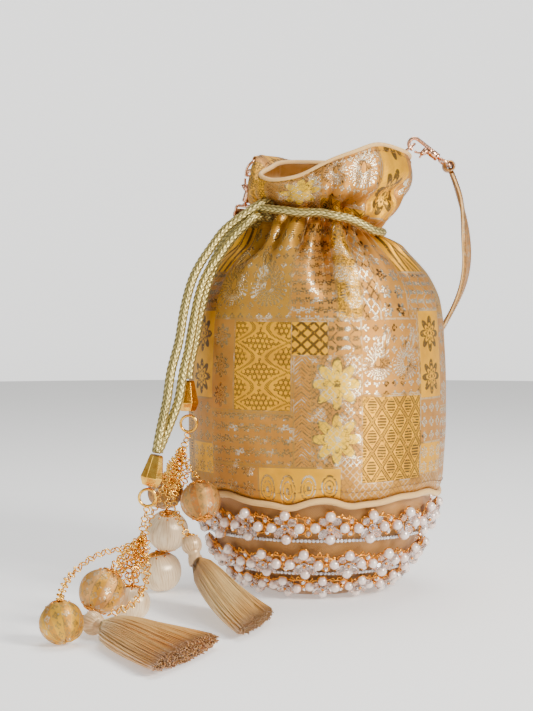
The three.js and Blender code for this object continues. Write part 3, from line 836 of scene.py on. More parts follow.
# Hollows: angle, half width in degrees, height, half height and depth. A ridge has a depth below 0.
DIMPLES = [
    (-135, 4, 174, 5, 4.5), (-128, 5, 168, 6, -1.6), (-142, 5, 164, 8, -1.4), (-95, 7, 160, 12, -1.8),
    (-78, 6, 158, 12, -1.6), (-60, 9, 150, 14, -1.2), (-30, 8, 152, 12, -1.2), (-112, 9, 146, 14, 1.2),
    (-36, 5, 140, 16, 0.9), (40, 9, 150, 14, 1.6), (95, 10, 140, 16, 1.8), (150, 9, 150, 14, -1.6),
]

# Folds across the ruffle: from one angle and share of its height to another, half width as a share
# of the height, and depth.
VALLEYS = [
    ((-96, 0.10), (-66, 0.30), 0.10, 7.0), ((-66, 0.30), (-26, 0.60), 0.10, 6.0),
    ((-50, 0.10), (-38, 0.36), 0.07, 3.0), ((-18, 0.10), (-6, 0.50), 0.09, 3.0),
    ((20, 0.15), (34, 0.75), 0.12, 3.5), ((84, 0.15), (70, 0.80), 0.14, 5.0),
    ((128, 0.15), (135, 0.70), 0.12, 4.0), ((200, 0.2), (168, 0.65), 0.10, 3.0),
]

GATHER_DEPTH = 2.4  # how many times deeper every gather is than its entry says
GATHERS_BEHIND = 22
GATHER_STEP = 11.0  # degrees between them
GATHERS_END = 215  # degrees: the gathers that show most go on from there
HEM_Z = 53
PUFF_Z = 180  # where the cloth swells between gathers, just below the tie
RUFFLE_DEGREES = 62  # degrees round the ruffle that are as long as its height

AROUND = 408
BODY_ROWS = 72
RUFFLE_ROWS = 44
BODY_CLOTH_R = 67.0  # cloth coordinates run round the body as they would at this radius
RUFFLE_CLOTH_R = 48.0
SHELL_WALL = 0.8
LINING_INSIDE = 1.3
LINING_WALL = 0.4
LINING_BOWL = [(20, 4), (30, 7), (43, 16), (52, 32), (57.5, 47)]  # radius, height

# Bumps and dips of the hem: angle, half width in degrees, and height.
HEM_WAVES = [(-135, 9, 1.5), (-103, 7, -2.6), (-86, 6, 0.4), (-77, 6, -1.6), (-52, 9, 1.4), (-30, 9, 1.6)]

STITCH_LONG = 1.5
STITCH_GAP = 1.1
STITCH_WIRE = 0.17


def degrees_from(angle, middle):
    """How far an angle is from another the shorter way round, from -180 to 180 degrees."""
    return (angle - middle + 180) % 360 - 180


def periodic(angles, values, at):
    """Catmull-Rom through values at uneven angles, wrapping at 360."""
    angles, values = np.asarray(angles, float), np.asarray(values, float)
    n = len(angles)
    wrapped = np.concatenate([angles[-2:] - 360, angles, angles[:2] + 360])
    around = np.concatenate([values[-2:], values, values[:2]])
    slope = np.empty_like(around)
    slope[1:-1] = (around[2:] - around[:-2]) / (wrapped[2:] - wrapped[:-2])[:, None]
    i = np.clip(np.searchsorted(wrapped, at, side="right") - 1, 1, n + 1)
    span = (wrapped[i + 1] - wrapped[i])[:, None]
    t = (at[:, None] - wrapped[i][:, None]) / span
    h00, h10 = 2 * t**3 - 3 * t**2 + 1, t**3 - 2 * t**2 + t
    h01, h11 = -2 * t**3 + 3 * t**2, t**3 - t**2
    return h00 * around[i] + h10 * span * slope[i] + h01 * around[i + 1] + h11 * span * slope[i + 1]


def all_gathers():
    """The gathers that show most, and others between them all the way round."""
    folds = list(GATHERS)
    for k in range(GATHERS_BEHIND):
        angle = k * GATHER_STEP + rng.uniform(-2, 2)
        if angle < GATHERS_END:
            folds.append((angle, rng.uniform(2.6, 4.2), rng.uniform(1.8, 3.6), rng.uniform(150, 172)))
    return folds


FOLDS = all_gathers()


def gather_depth(angle, z):
    """How deep the gathers are at an angle in degrees and a height, body and neck alike."""
    depth = np.zeros(np.broadcast(angle, z).shape)
    for middle, half, deep, low in FOLDS:
        away = degrees_from(angle, middle)
        lean = 0.04 * (z - NECK_Z) * math.sin(middle)
        width = half * (1 + 0.9 * smoothstep(NECK_Z - z, 0, 35))
        crease = np.exp(-np.abs((away - lean) / width) ** 1.3)
        depth = depth + GATHER_DEPTH * deep * crease * smoothstep(z, low - 6, min(low + 16, 182))
    return depth


def dimple_depth(angle, z):
    """Short hollows beside the gathers."""
    depth = np.zeros(np.broadcast(angle, z).shape)
    for middle, half, height, tall, deep in DIMPLES:
        away = degrees_from(angle, middle)
        depth = depth + deep * np.exp(-((away / half) ** 2) - ((z - height) / tall) ** 2)
    return depth


def tilt(angle, z):
    """How far the neck's slant lifts the cloth, at an angle in radians and a height."""
    lift = -NECK_DROP_TO_RIGHT * np.cos(angle) - NECK_RISE_TO_BACK * np.sin(angle)
    return lift * smoothstep(z, 176, NECK_Z)


def hem_height(angle):
    """The hem's gentle waves, in millimetres, at an angle in degrees."""
    wave = 0.9 * np.sin(np.radians(angle) * 7)
    for middle, half, up in HEM_WAVES:
        away = degrees_from(angle, middle)
        wave = wave + up * np.exp(-((away / half) ** 2))
    return wave


def shell_grid():
    """The brocade's outside, row by row from the hem to the rim, and its cloth coordinates."""
    degrees = np.arange(AROUND) * 360 / AROUND
    angle = np.radians(degrees)
    side = even([(r, 0, z) for r, z in BODY_SIDE], 0.5)
    at = np.linspace(0, 1, BODY_ROWS) ** 0.92
    steps = np.linspace(0, 1, len(side))
    radius = np.interp(at, steps, side[:, 0])[:, None]
    z = np.interp(at, steps, side[:, 2])[:, None]
    depth = gather_depth(degrees[None], z) + dimple_depth(degrees[None], z)
    swell = 0.5 * np.sin(3 * angle + 1)[None] * smoothstep(z, 60, 90) * (1 - smoothstep(z, 150, 180))
    puff = 3.0 * np.maximum(1 - depth / 3, -0.5) * np.exp(-(((z - PUFF_Z) / 6.5) ** 2))
    r = radius - depth * (1 - 0.3 * smoothstep(z, PUFF_Z, NECK_Z)) + swell + puff
    drop = hem_height(degrees)[None] * (1 - smoothstep(z, HEM_Z, HEM_Z + 13))
    body = np.stack([r * np.cos(angle), r * np.sin(angle), z + tilt(angle[None], z) + drop], -1)

    order = sorted(RUFFLE)
    rows = [periodic(order, [RUFFLE[a][k] for a in order], degrees) for k in range(5)]
    neck_in = 1 - (gather_depth(degrees, np.full(AROUND, 188.0)) * 0.75 / 35)[:, None] * [1, 1, 0]
    rows[0] = rows[0] * neck_in
    ruffle = np.stack([spline(np.stack([row[i] for row in rows]), RUFFLE_ROWS + 1) for i in range(AROUND)], 1)
    ruffle = pleat_ruffle(ruffle, degrees)
    join = smoothstep(z, 176, 186)[..., None] ** 2
    pulled = body + (ruffle[0][None] - body) * join
    grid = np.concatenate([pulled, ruffle], 0)

    from_front = np.radians(degrees_from(degrees, -90))
    along = 0.5 * np.arange(len(side))
    body_v = BODY_SIDE[0][1] + np.interp(at, steps, along)
    upper_rows = RUFFLE_ROWS + 1
    body_u = np.tile(BODY_CLOTH_R * from_front, (BODY_ROWS, 1))
    ruffle_u = np.tile(RUFFLE_CLOTH_R * from_front + 25, (upper_rows, 1))
    v = np.concatenate([body_v, np.linspace(92, 130, upper_rows)])
    cloth_r = np.concatenate([np.full(BODY_ROWS, BODY_CLOTH_R), np.full(upper_rows, RUFFLE_CLOTH_R)])
    return grid, np.vstack([body_u, ruffle_u]), np.tile(v[:, None], (1, AROUND)), 2 * math.pi * cloth_r


def pleat_ruffle(ruffle, degrees):
    """Carries the neck's gathers up into the ruffle, dying out towards the rim."""
    rise = np.linspace(0, 1, len(ruffle))[:, None]
    depth = gather_depth(degrees[None], np.full((1, len(degrees)), 189.0))
    away = unit(ruffle * [1, 1, 0] + 1e-6)
    waves = 0.5 * np.sin(np.radians(degrees) * 19)[None] * rise * (1 - rise)
    inward = depth * 0.8 * (1 - rise) ** 1.6 * smoothstep(rise, 0.0, 0.02) + waves
    for start, end, half, deep in VALLEYS:
        inward = inward + deep * np.exp(-(off_line(degrees, rise, start, end) / half) ** 2)
    return ruffle - away * inward[..., None]


def off_line(degrees, rise, start, end):
    """How far each point of the ruffle is from a fold's line, as a share of the ruffle's height."""
    per_degree = 1 / RUFFLE_DEGREES
    away = degrees_from(degrees[None], start[0])
    point = np.stack([away * per_degree + 0 * rise, rise - start[1] + 0 * away], -1)
    line = np.array([(end[0] - start[0]) * per_degree, end[1] - start[1]])
    t = np.clip(point @ line / (line @ line), 0, 1)
    return np.linalg.norm(point - t[..., None] * line, axis=-1)


def cloth_grid(name, grid, u, v, turn, material):
    """A closed band of quads. Its cloth coordinates run turn millimetres in one round."""
    rows, columns = grid.shape[:2]
    obj = make_piece(name, grid.reshape(-1, 3), wrapped_faces(rows, columns), material)
    loops = np.empty(len(obj.data.loops), dtype=np.int32)
    obj.data.loops.foreach_get("vertex_index", loops)
    row, column = loops // columns, loops % columns
    at = np.stack([u[row, column], v[row, column]], 1)
    span = np.repeat(np.ptp(at[:, 0].reshape(-1, 4), axis=1), 4)
    at[:, 0] += np.where((span > turn[row] / 2) & (at[:, 0] < 0), turn[row], 0)
    layer = obj.data.uv_layers.new(name="cloth")
    layer.data.foreach_set("uv", at.astype(np.float32).ravel())
    return obj


def inset_grid(grid, distance):
    """The grid moved inwards, square to itself."""
    around = np.roll(grid, -1, 1) - np.roll(grid, 1, 1)
    up = np.gradient(grid, axis=0)
    return grid - unit(np.cross(around, up)) * distance


def brocade_shell():
    """The outer cloth: body and ruffle in one sheet."""
    grid, u, v, turn = shell_grid()
    shell = cloth_grid("brocade_shell", grid, u, v, turn, BROCADE)
    thicken(shell, SHELL_WALL)
    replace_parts(shell, "outer_shell")
    return grid


def lining(grid):
    """The lining: the brocade's own shape, a little inside it, down to the bowl."""
    inside = inset_grid(grid[::2, ::3], LINING_INSIDE)
    angle = np.arctan2(inside[0, :, 1], inside[0, :, 0])
    rows = [np.stack([r * np.cos(angle), r * np.sin(angle), 0 * angle + z], -1) for r, z in LINING_BOWL]
    whole = np.concatenate([np.array(rows), inside], 0)
    count = whole.shape[:2]
    u = np.broadcast_to(np.arange(count[1]), count) * 2.6
    v = np.broadcast_to(np.arange(count[0])[:, None], count) * 2.0
    cloth_piece = cloth_grid("lining_bag", whole, u, v, np.full(count[0], 1e9), LINING)
    thicken(cloth_piece, -LINING_WALL)
    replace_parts(cloth_piece, "lining")


def piping(name, line, radius, node_name):
    """A closed cord of cloth along a line."""
    shape = Shape()
    shape.tube(line, radius, 12, closed=True)
    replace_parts(shape.piece(name, PIPING, "piping_cloth"), node_name)


def stitches(name, line):
    """A row of stitches along a line, each a short thread lying on the cloth."""
    shape = Shape()
    steps = even(line, (STITCH_LONG + STITCH_GAP) / 4, closed=True)
    for i in range(0, len(steps) - 4, 4):
        run = steps[i : i + 3]
        shape.tube(run + outward(run) * 0.12, STITCH_WIRE, 5)
    shape.piece(name, STITCH, "piping_cloth")


def pipings(grid):
    """The cords sewn round the rim and the hem, each with a row of stitches beside it."""
    on_cloth = inset_grid(grid, -0.1)
    rim = even(grid[-1][::4], 1.2, closed=True) - [0, 0, 0.2]
    piping("rim_cord", rim, 1.15, "rim_piping")
    stitches("rim_stitches", on_cloth[-4][::4])
    hem = grid[0][::3] - [0, 0, 1.6]
    hem = hem + outward(hem) * 0.2
    piping("hem_cord", even(hem, 1.4, closed=True), 1.55, "base_piping")
    stitches("hem_stitches", on_cloth[2][::4])


GRID = brocade_shell()
lining(GRID)
pipings(GRID)


# ---- Bowl and bead trim ------------------------------------------------------------------------

CUP_SIDE = [(26, 0), (31, 2.5), (40, 9), (48, 18.5), (54, 30), (57.5, 40), (60, 50), (61, 56)]

# Each row of beaded trim: how many flowers, the flower's size against the others, and the radius
# and height of its upper, middle and lower pearls.
TRIM_ROWS = [
    (18, 1.0, (60.9, 45.4), (59.6, 39.6), (57.2, 33.6)),
    (16, 1.0, (54.6, 25.6), (52.0, 20.8), (48.6, 16.2)),
    (14, 0.9, (44.6, 11.8), (41.6, 8.4), (37.6, 5.2)),
]
STONE_ROWS = [(56.6, 32.2), (46.8, 14.6)]
PEARL_R = 2.55
PEARL_OUT = 1.9  # how far a pearl's middle stands out from the bowl's cloth
CUP_WALL = 1.6
ROW_STARTS = (0.08, 0.26, 0.05)  # how far past the front each row's first flower sits, in radians
STONE_STEP = 1.95
STONE_SIDE = [(0, -0.5), (0.62, -0.45), (0.82, 0.1), (0.5, 0.62), (0, 0.66)]
STONE_CUP_SIDE = [(0, -0.8), (0.86, -0.75), (0.95, 0.2), (0.84, 0.28), (0, 0.05)]
PETAL_RINGS = [(-0.5, 0.05), (-0.32, 0.72), (0.05, 1.0), (0.36, 0.66), (0.5, 0.05)]  # place, width
PETAL_SIDES = 6


def cup(name):
    """The rounded bowl that the bag stands on, covered in cloth."""
    shape = Shape()
    side = even([(r, 0, z) for r, z in CUP_SIDE], 2.5)[:, [0, 2]]
    inner = [(max(r - CUP_WALL, 1), max(z, CUP_WALL)) for r, z in side[::-1]]
    profile = [(0, 0), *map(tuple, side), *inner, (0, CUP_WALL)]
    shape.lathe(profile, (0, 0, 0), (0, 0, 1), 120)
    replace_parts(shape.piece(name, BOWL_CLOTH, "bowl_cloth"), "base_cup")


def flower_frame(angle, row):
    """Where a flower sits: its middle, and its sideways, upward and outward directions."""
    _, _, top, middle, low = row
    out = np.array([math.cos(angle), math.sin(angle), 0])
    side = np.array([-math.sin(angle), math.cos(angle), 0])
    up = unit(out * (top[0] - low[0]) + np.array([0, 0, top[1] - low[1]]))
    return out * middle[0] + np.array([0, 0, middle[1]]), side, up, np.cross(side, up)


def petal(shape, centre, long_way, wide_way, out, length, width):
    """A faceted bead shaped as a petal: a stretched six-sided spindle."""
    turn = np.arange(PETAL_SIDES) * math.pi / 3
    points = []
    for along, fat in PETAL_RINGS:
        for t in turn:
            points.append(centre + long_way * along * length + wide_way * math.cos(t) * fat * width / 2
                          + out * math.sin(t) * fat * width * 0.36)
    shape.add(points, tube_faces(len(PETAL_RINGS), PETAL_SIDES))


def bead_flower(pearls, petals, gilt, angle, row):
    """Four pearls round clear petals, on a gilt wire setting with a pronged upper edge."""
    _, scale, top, _, low = row
    centre, side, up, out = flower_frame(angle, row)
    sway = rng.uniform(-0.5, 0.5, 2)
    centre = centre + side * sway[0] + out * PEARL_OUT * 0.7
    tall = math.dist(top, low) / 2
    wide = 6.9 * scale
    r = PEARL_R * (0.92 if scale < 1 else 1)
    spots = [up * tall, -up * tall, side * wide + up * sway[1], -side * wide - up * sway[1] * 0.6]
    for spot in spots:
        at = centre + spot + rng.normal(0, 0.22, 3) + out * (0.7 + rng.uniform(-0.2, 0.3))
        pearls.ball(at, r * rng.uniform(0.96, 1.03), 16, 11, axis=out)
        gilt.ring(at - out * r * 0.55, out, r * 0.98, 0.32, 12, 5)
    for k in range(4):
        turn = math.pi / 4 + k * math.pi / 2 + rng.uniform(-0.12, 0.12)
        ray = unit(side * math.cos(turn) * 1.1 + up * math.sin(turn))
        wide_way = np.cross(out, ray)
        petal(petals, centre + ray * 4.5 * scale + out * 0.9, unit(ray + out * 0.28), wide_way, out,
              6.2 * scale, 4.3 * scale)
        gilt.ring(centre + ray * 4.4 * scale - out * 0.3, out, 2.2 * scale, 0.34, 10, 5, 1.2, ray)
    for k in range(6):
        turn = k * math.pi / 3 + 0.3
        ray = side * math.cos(turn) + up * math.sin(turn)
        spot = centre + ray * 1.5 + out * 1.7
        petal(petals, spot, unit(ray + out * 0.7), np.cross(out, ray), out, 2.8, 1.9)
    gilt.ball(centre + out * 2.4, 0.75, 8, 6, axis=out)
    gilt.ring(centre + out * 0.2, out, 1.9, 0.4, 14, 5)


def prongs(gilt, row, count):
    """The setting's upper and lower edges: a wavy gilt wire with small loops and points on it."""
    _, _, top, middle, low = row
    for edge, lift in ((top, -0.6), (low, 0.9)):
        turn = np.linspace(0, 2 * math.pi, count * 12, endpoint=False)
        wave = np.cos(turn * count)
        radius = middle[0] + (edge[0] - middle[0]) * (0.55 + 0.3 * wave) + 0.9
        height = middle[1] + (edge[1] - middle[1]) * (0.55 + 0.3 * wave) + lift
        line = np.stack([radius * np.cos(turn), radius * np.sin(turn), height], 1)
        gilt.tube(line, 0.5, 6, closed=True)
        if edge is low:
            continue
        for i in range(0, len(line), 2):
            out = outward(line[i])
            up = unit(out * 0.45 + np.array([0, 0, 1]))
            side = np.cross(up, out)
            tip = line[i] + up * rng.uniform(1.5, 2.4)
            gilt.ring(line[i] + up * 0.8, np.cross(side, up), 0.8, 0.32, 9, 4, 1.3, side)
            gilt.ball(tip, rng.uniform(0.42, 0.6), 7, 5)


def bead_rows():
    """Every row of flowers, with small beads above and below the gaps between them."""
    for k, row in enumerate(TRIM_ROWS):
        count = row[0]
        pearls, petals, gilt = Shape(), Shape(), Shape()
        start = -math.pi / 2 + ROW_STARTS[k]
        for i in range(count):
            angle = start + i * 2 * math.pi / count
            bead_flower(pearls, petals, gilt, angle, row)
            between_angle = angle + math.pi / count
            centre, side, up, out = flower_frame(between_angle, row)
            for lift in (3.2, -3.2):
                spot = centre + up * lift * row[1] + out * (PEARL_OUT * 0.5)
                gilt.ring(spot, out, 1.7, 0.34, 12, 5, 1.2, up)
                petal(petals, spot + out * 0.5, up, side, out, 3.0, 2.4)
            gilt.ball(centre + out * 1.6, 1.0, 10, 7)
        prongs(gilt, row, count)
        pearls = pearls.piece(f"pearls_{k + 1}", PEARL, "beads")
        petals.piece(f"clear_beads_{k + 1}", CRYSTAL, "beads", smooth=False)
        gilt.piece(f"gilt_setting_{k + 1}", FILIGREE, "gold_metal")
        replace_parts(pearls, f"bead_trim_{k + 1}")


def stone_chain(number, radius, z):
    """Small square stones, each in a cup of silver wire, in a ring round the bowl."""
    stones, cups = Shape(), Shape()
    count = int(2 * math.pi * radius / STONE_STEP)
    droop = -0.35 if number == 1 else -0.5
    for i in range(count):
        angle = i * 2 * math.pi / count
        out = unit(np.array([math.cos(angle), math.sin(angle), droop]))
        at = np.array([radius * math.cos(angle), radius * math.sin(angle), z])
        stones.lathe(STONE_SIDE, at + out * 0.5, out, 8)
        cups.lathe(STONE_CUP_SIDE, at + out * 0.4, out, 8)
    stones = stones.piece(f"stones_{number}", CRYSTAL_STONE, "stones", smooth=False)
    cups.piece(f"stone_cups_{number}", STONE, "stones")
    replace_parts(stones, f"stone_chain_{number}")


cup("bowl")
bead_rows()
for number, (radius, z) in enumerate(STONE_ROWS, 1):
    stone_chain(number, radius, z)


# ---- Drawstrings -------------------------------------------------------------------------------

CORD_D = 4.5
CORD_STEP = 0.34
CORD_SIDES = 32
CORD_COLUMNS = 8
CORD_STITCH = 3.0
ROOT_ENDS_R = 34  # how near the neck's axis each tail comes, between the gathers
CORD_ROUTES = {
    "a1": [
        (-38, -27, 187), (-44.5, -29.5, 179.5), (-50, -32.5, 170.5), (-54.5, -34.5, 160.5),
        (-57.5, -36.5, 150), (-59.8, -37.8, 139), (-61.8, -39.2, 127), (-63.9, -43.6, 117),
        (-64.5, -44.6, 110.8),
    ],
    "a2": [
        (-41, -21.5, 186.2), (-47, -24, 178.5), (-52.5, -27, 169.5), (-57, -29.5, 159.5),
        (-60.3, -31.5, 149), (-62.8, -33, 138), (-64.8, -34.3, 126.5), (-65.8, -38.2, 117),
        (-65.7, -39.4, 110.8),
    ],
    "b1": [
        (-28.5, -28.5, 198.3), (-37.8, -31, 192), (-46.8, -33.5, 184.8), (-52.9, -37, 176.7),
        (-59.4, -42, 166.6), (-63.2, -46.5, 157.7), (-66.3, -52, 144.9), (-68.5, -58, 130),
        (-71.9, -65, 115.8), (-73.8, -71, 101.3), (-76.2, -79.4, 88.4), (-78, -82.2, 77.9),
    ],
    "b2": [
        (-34.2, -32.9, 189.5), (-43.5, -34.8, 180), (-50, -38.5, 170.8), (-55.8, -42.3, 162),
        (-59.2, -46.6, 152.3), (-61.3, -51.3, 141), (-63.4, -57, 128), (-66, -63.6, 115.7),
        (-68.4, -68.6, 101.2), (-73.2, -74.4, 88.2), (-77.4, -77.1, 77.9),
    ],
}
FRONT_STRAND = [
    (-31, -25, 197), (-29, -29, 196), (-16.8, -38, 194), (-9.4, -39.5, 193), (0.6, -39.5, 193),
    (8, -39.5, 191.5), (15.5, -38, 190), (23.6, -34.5, 186.4), (27, -32, 184.6), (31, -27, 184),
    (33, -20, 184),
]
CAPS = {"a": ((-65, -42, 102.3), 0.0), "b": ((-79.6, -79.6, 69.3), 0.22)}
CAP_RINGS = {"a": (-64.6, -42.3, 88.4), "b": (-82.4, -79.8, 56.3)}
CAP_TALL = 15
CHAIN_ROUTES = {
    "main_chain_a": [(-65.2, -43, 82.6), (-66.6, -44, 78), (-68.2, -45, 73.5)],
    "main_chain_b": [(-82.8, -80.4, 50.7), (-84, -81.3, 45), (-85, -82, 39.5)],
    "ball_chain_a1": [(-66.8, -49.2, 70), (-63, -54, 66.4), (-59.8, -57.8, 63.8)],
    "ball_chain_a2": [(-70.6, -40.2, 71.5), (-75, -24, 66), (-77.6, -9, 59.4)],
    "ball_chain_a3": [(-71, -42.8, 67.8), (-74.5, -35, 57), (-76, -27.6, 44.8)],
    "ball_chain_a4": [(-71.8, -45.8, 68), (-83.6, -39, 42), (-88.5, -30, 24), (-87.2, -25.4, 19.5)],
    "tassel_chain_a": [(-67.8, -50.6, 66.4), (-71, -57.6, 50), (-65.4, -59.6, 37)],
    "ball_chain_b1": [
        (-89.6, -83, 33.4), (-105, -93, 31), (-115.6, -108, 24), (-118, -126, 18.4), (-116.6, -136, 18),
    ],
    "ball_chain_b2": [(-87.6, -86.8, 35), (-92.6, -96, 31.6), (-97, -103, 27)],
    "ball_chain_b3": [(-84.6, -86.4, 31.6), (-87, -90.6, 24), (-88, -92, 19.2)],
    "tassel_chain_b": [(-82.4, -84, 35.4), (-81.6, -98, 21), (-86, -115, 13), (-96.2, -124.2, 9.4)],
}
BALLS = {
    "brocade_ball_1": ((-58, -60, 52.2), 10, (-0.2, 0.35, 0.9)),
    "brocade_ball_2": ((-79, 0, 49.6), 9.5, (0.1, -0.4, 0.9)),
    "brocade_ball_3": ((-101, -110, 17.2), 10.8, (0.45, 0.3, 0.85)),
    "brocade_ball_4": ((-115.2, -144.8, 9.9), 9.9, (-0.25, 0.5, 0.83)),
    "silk_ball_1": ((-76.3, -25, 32.4), 10.6, (0.05, -0.25, 0.97)),
    "silk_ball_2": ((-80.1, -19.4, 10.7), 10.7, (-0.2, -0.1, 0.97)),
    "silk_ball_3": ((-88.8, -94.3, 8.7), 8.7, (0.05, 0.1, 0.97)),
}
TASSELS = [
    ((-62.4, -59.2, 30.6), 5.2, (-60.2, -63.2, 22.6), (-38, -141, 4.2), (-22, -94, 4.2)),
    ((-103.4, -127.6, 6.1), 5.6, (-98.2, -133, 5.4), (-71, -210, 4.6), (-45, -151, 4.6)),
]


def braided(name, line, diameter, material):
    """A knitted cord: strands lean one way and the other in turn round it, in stitches."""
    line = even(line, CORD_STEP)
    _, side, up = frames(line)
    along = np.linspace(0, length_of(line), len(line))[:, None]
    turn = (np.arange(CORD_SIDES) + 0.5) / CORD_SIDES
    column = np.floor(turn * CORD_COLUMNS)
    across = turn * CORD_COLUMNS - column - 0.5
    lean = np.where(column % 2 == 0, 1.0, -1.0)
    phase = along / CORD_STITCH + lean * across * 0.85 + 0.5 * (column % 2)
    strand = np.abs(np.cos(math.pi * phase)) ** 0.8
    groove = 1 - np.abs(2 * across) ** 3
    relief = strand * groove
    radius = diameter / 2 * (0.78 + 0.26 * relief)
    angle = 2 * math.pi * turn
    ring = np.cos(angle)[None, :, None] * side[:, None] + np.sin(angle)[None, :, None] * up[:, None]
    points = (line[:, None] + radius[..., None] * ring).reshape(-1, 3)
    faces = tube_faces(len(line), CORD_SIDES)
    # v carries the stitches' relief, which the cord's material paints dark in the grooves as shade.
    uv = np.stack([np.broadcast_to(along, relief.shape).ravel(), relief.ravel()], 1)
    return make_piece(name, points, faces, material, uv=uv)


def bell_cap(name, at, lean):
    """A turned cap of eight flats for two cord ends, with a rounded lip."""
    axis = (math.sin(lean), 0, math.cos(lean))
    low = -CAP_TALL / 2
    profile = [
        (0, 7.5), (2.6, 7.5), (3.3, 7.2), (3.5, 6.6), (4.0, 4.2), (5.0, -0.4), (5.6, low + 4.6),
        (5.7, low + 4.0), (5.0, low + 1.9), (4.2, low + 0.3), (3.9, low), (3.2, low + 0.1),
        (3.3, low + 1), (4.0, low + 4), (0, low + 5),
    ]
    shape = Shape()
    shape.lathe(profile, at, axis, 8, level=(0.38, 0.92, 0))
    cap = shape.piece(f"bell_{name}", GOLD, "gold_metal", smooth=False)
    edge = cap.modifiers.new("soft_edges", "BEVEL")
    edge.width = 0.25 * MM
    edge.segments = 2
    edge.limit_method = "ANGLE"
    edge.angle_limit = math.radians(25)
    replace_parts(cap, f"cord_cap_{name}")
    return cap


def drawstrings():
    """The four tails with their roots and caps, the strand across the front and the one in the neck."""
    bells = {name: bell_cap(name, *place) for name, place in CAPS.items()}
    for name, route in CORD_ROUTES.items():
        line = even(route, CORD_STEP)
        cord = braided(f"tail_{name}", route, CORD_D, CORD)
        path = even(route, 4)
        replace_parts(cord, f"cord_{name}")
        start, ahead = np.array(route[0]), np.array(route[1])
        back = unit(start - ahead)
        neck = outward(start) * ROOT_ENDS_R + [0, 0, start[2] + 1.5]
        bend = start + (back + unit(neck - start)) * 2.2
        braided(f"cord_root_{name}", [start - back * 1.2, start, bend, neck], CORD_D, CORD)
    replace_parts(braided("front_strand", FRONT_STRAND, CORD_D, CORD), "drawstring_front")
    turn = np.radians(np.linspace(-25, 205, 60))
    z = NECK_Z - NECK_DROP_TO_RIGHT * np.cos(turn) - NECK_RISE_TO_BACK * np.sin(turn)
    hidden = Shape()
    hidden.tube(np.stack([30.4 * np.cos(turn), 28 * np.sin(turn), z + 1], 1), 1.2, 10)
    hidden = hidden.piece("strand_in_neck", CORD, "metallic_cord")
    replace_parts(hidden, "drawstring_loop_1", "drawstring_loop_2")
    for name, at in CAP_RINGS.items():
        ring = Shape()
        ring.ring(at, (0, 1, 0), 4, 0.72, 36, 10)
        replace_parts(ring.piece(f"ring_{name}", GOLD, "gold_metal"), f"cap_ring_{name}")


# ---- Pendants ----------------------------------------------------------------------------------


LINK_PITCH = 2.5
LINK_R = 1.05
LINK_WIRE = 0.36
LINK_STRETCH = 1.62

# Clusters of short chains: how many, their top, their foot, how far they spread there across and as
# a share of that up and down, and how far they bow.
CHAIN_CLUSTERS = [
    (7, (-68.4, -45, 74.5), (-72, -48, 56), 5, 1, 3),
    (9, (-85, -82, 38), (-92, -92, 21), 6, 0.7, 4),
]


def links(shape, route):
    """A chain: oval links along a route, each turned a quarter from the one before."""
    line = even(route, LINK_PITCH)
    tangent, side, up = frames(line)
    for i, (at, t, s, u) in enumerate(zip(line, tangent, side, up)):
        swing = 0.5 + i * math.pi / 2 + rng.uniform(-0.35, 0.35)
        axis = s * math.cos(swing) + u * math.sin(swing)
        shape.ring(at, axis, LINK_R, LINK_WIRE, 12, 6, LINK_STRETCH, level=np.cross(t, axis))


def chains():
    """The single chains, and the two clusters where several hang together."""
    for name, route in CHAIN_ROUTES.items():
        shape = Shape()
        links(shape, route)
        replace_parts(shape.piece(f"links_{name}", GOLD, "gold_metal"), name)
    bundle = Shape()
    for count, top, foot, spread, upright, bow in CHAIN_CLUSTERS:
        for _ in range(count):
            start = np.array(top) + rng.uniform(-1.5, 1.5, 3)
            end = np.array(foot) + rng.uniform(-spread, spread, 3) * [1, 1, upright]
            middle = (start + end) / 2 + rng.uniform(-bow, bow, 3)
            links(bundle, [start, middle, end])
    bundle.piece("chain_bundles", GOLD, "gold_metal")


LOWEST = 0.1  # how near the floor a ball's cloth may come


def stuffed_ball(name, at, radius, axis, material, pleats):
    """A ball sewn or wound round, with its cloth drawn into pleats towards both poles."""
    a, b = basis(axis)
    c = unit(axis)
    down = np.linspace(0.03, math.pi - 0.03, 40)[:, None]
    turn = (np.arange(72) * 2 * math.pi / 72)[None]
    near_pole = np.abs(np.cos(down)) ** (3 if pleats < 12 else 6)
    folds = np.abs(np.sin(turn * pleats / 2 + 0.4 * np.sin(2 * turn)))
    lumps = 0.012 * np.sin(3 * turn + 2 * down) + 0.01 * np.sin(5 * down + turn)
    r = radius * (0.985 - 0.10 * near_pole * (1 - folds) + lumps - 0.05 * np.abs(np.cos(down)) ** 9)
    out = (np.sin(down) * np.cos(turn))[..., None] * a + (np.sin(down) * np.sin(turn))[..., None] * b
    grid = np.array(at) + r[..., None] * (out + (np.cos(down) + 0 * turn)[..., None] * c)
    grid[..., 2] = np.maximum(grid[..., 2], LOWEST)
    u = np.broadcast_to((turn - math.pi) * radius, r.shape)
    v = np.broadcast_to(down * radius, r.shape)
    turn_long = np.full(len(down), 2 * math.pi * radius)
    return cloth_grid(name, grid[::-1], u, v, turn_long, material)


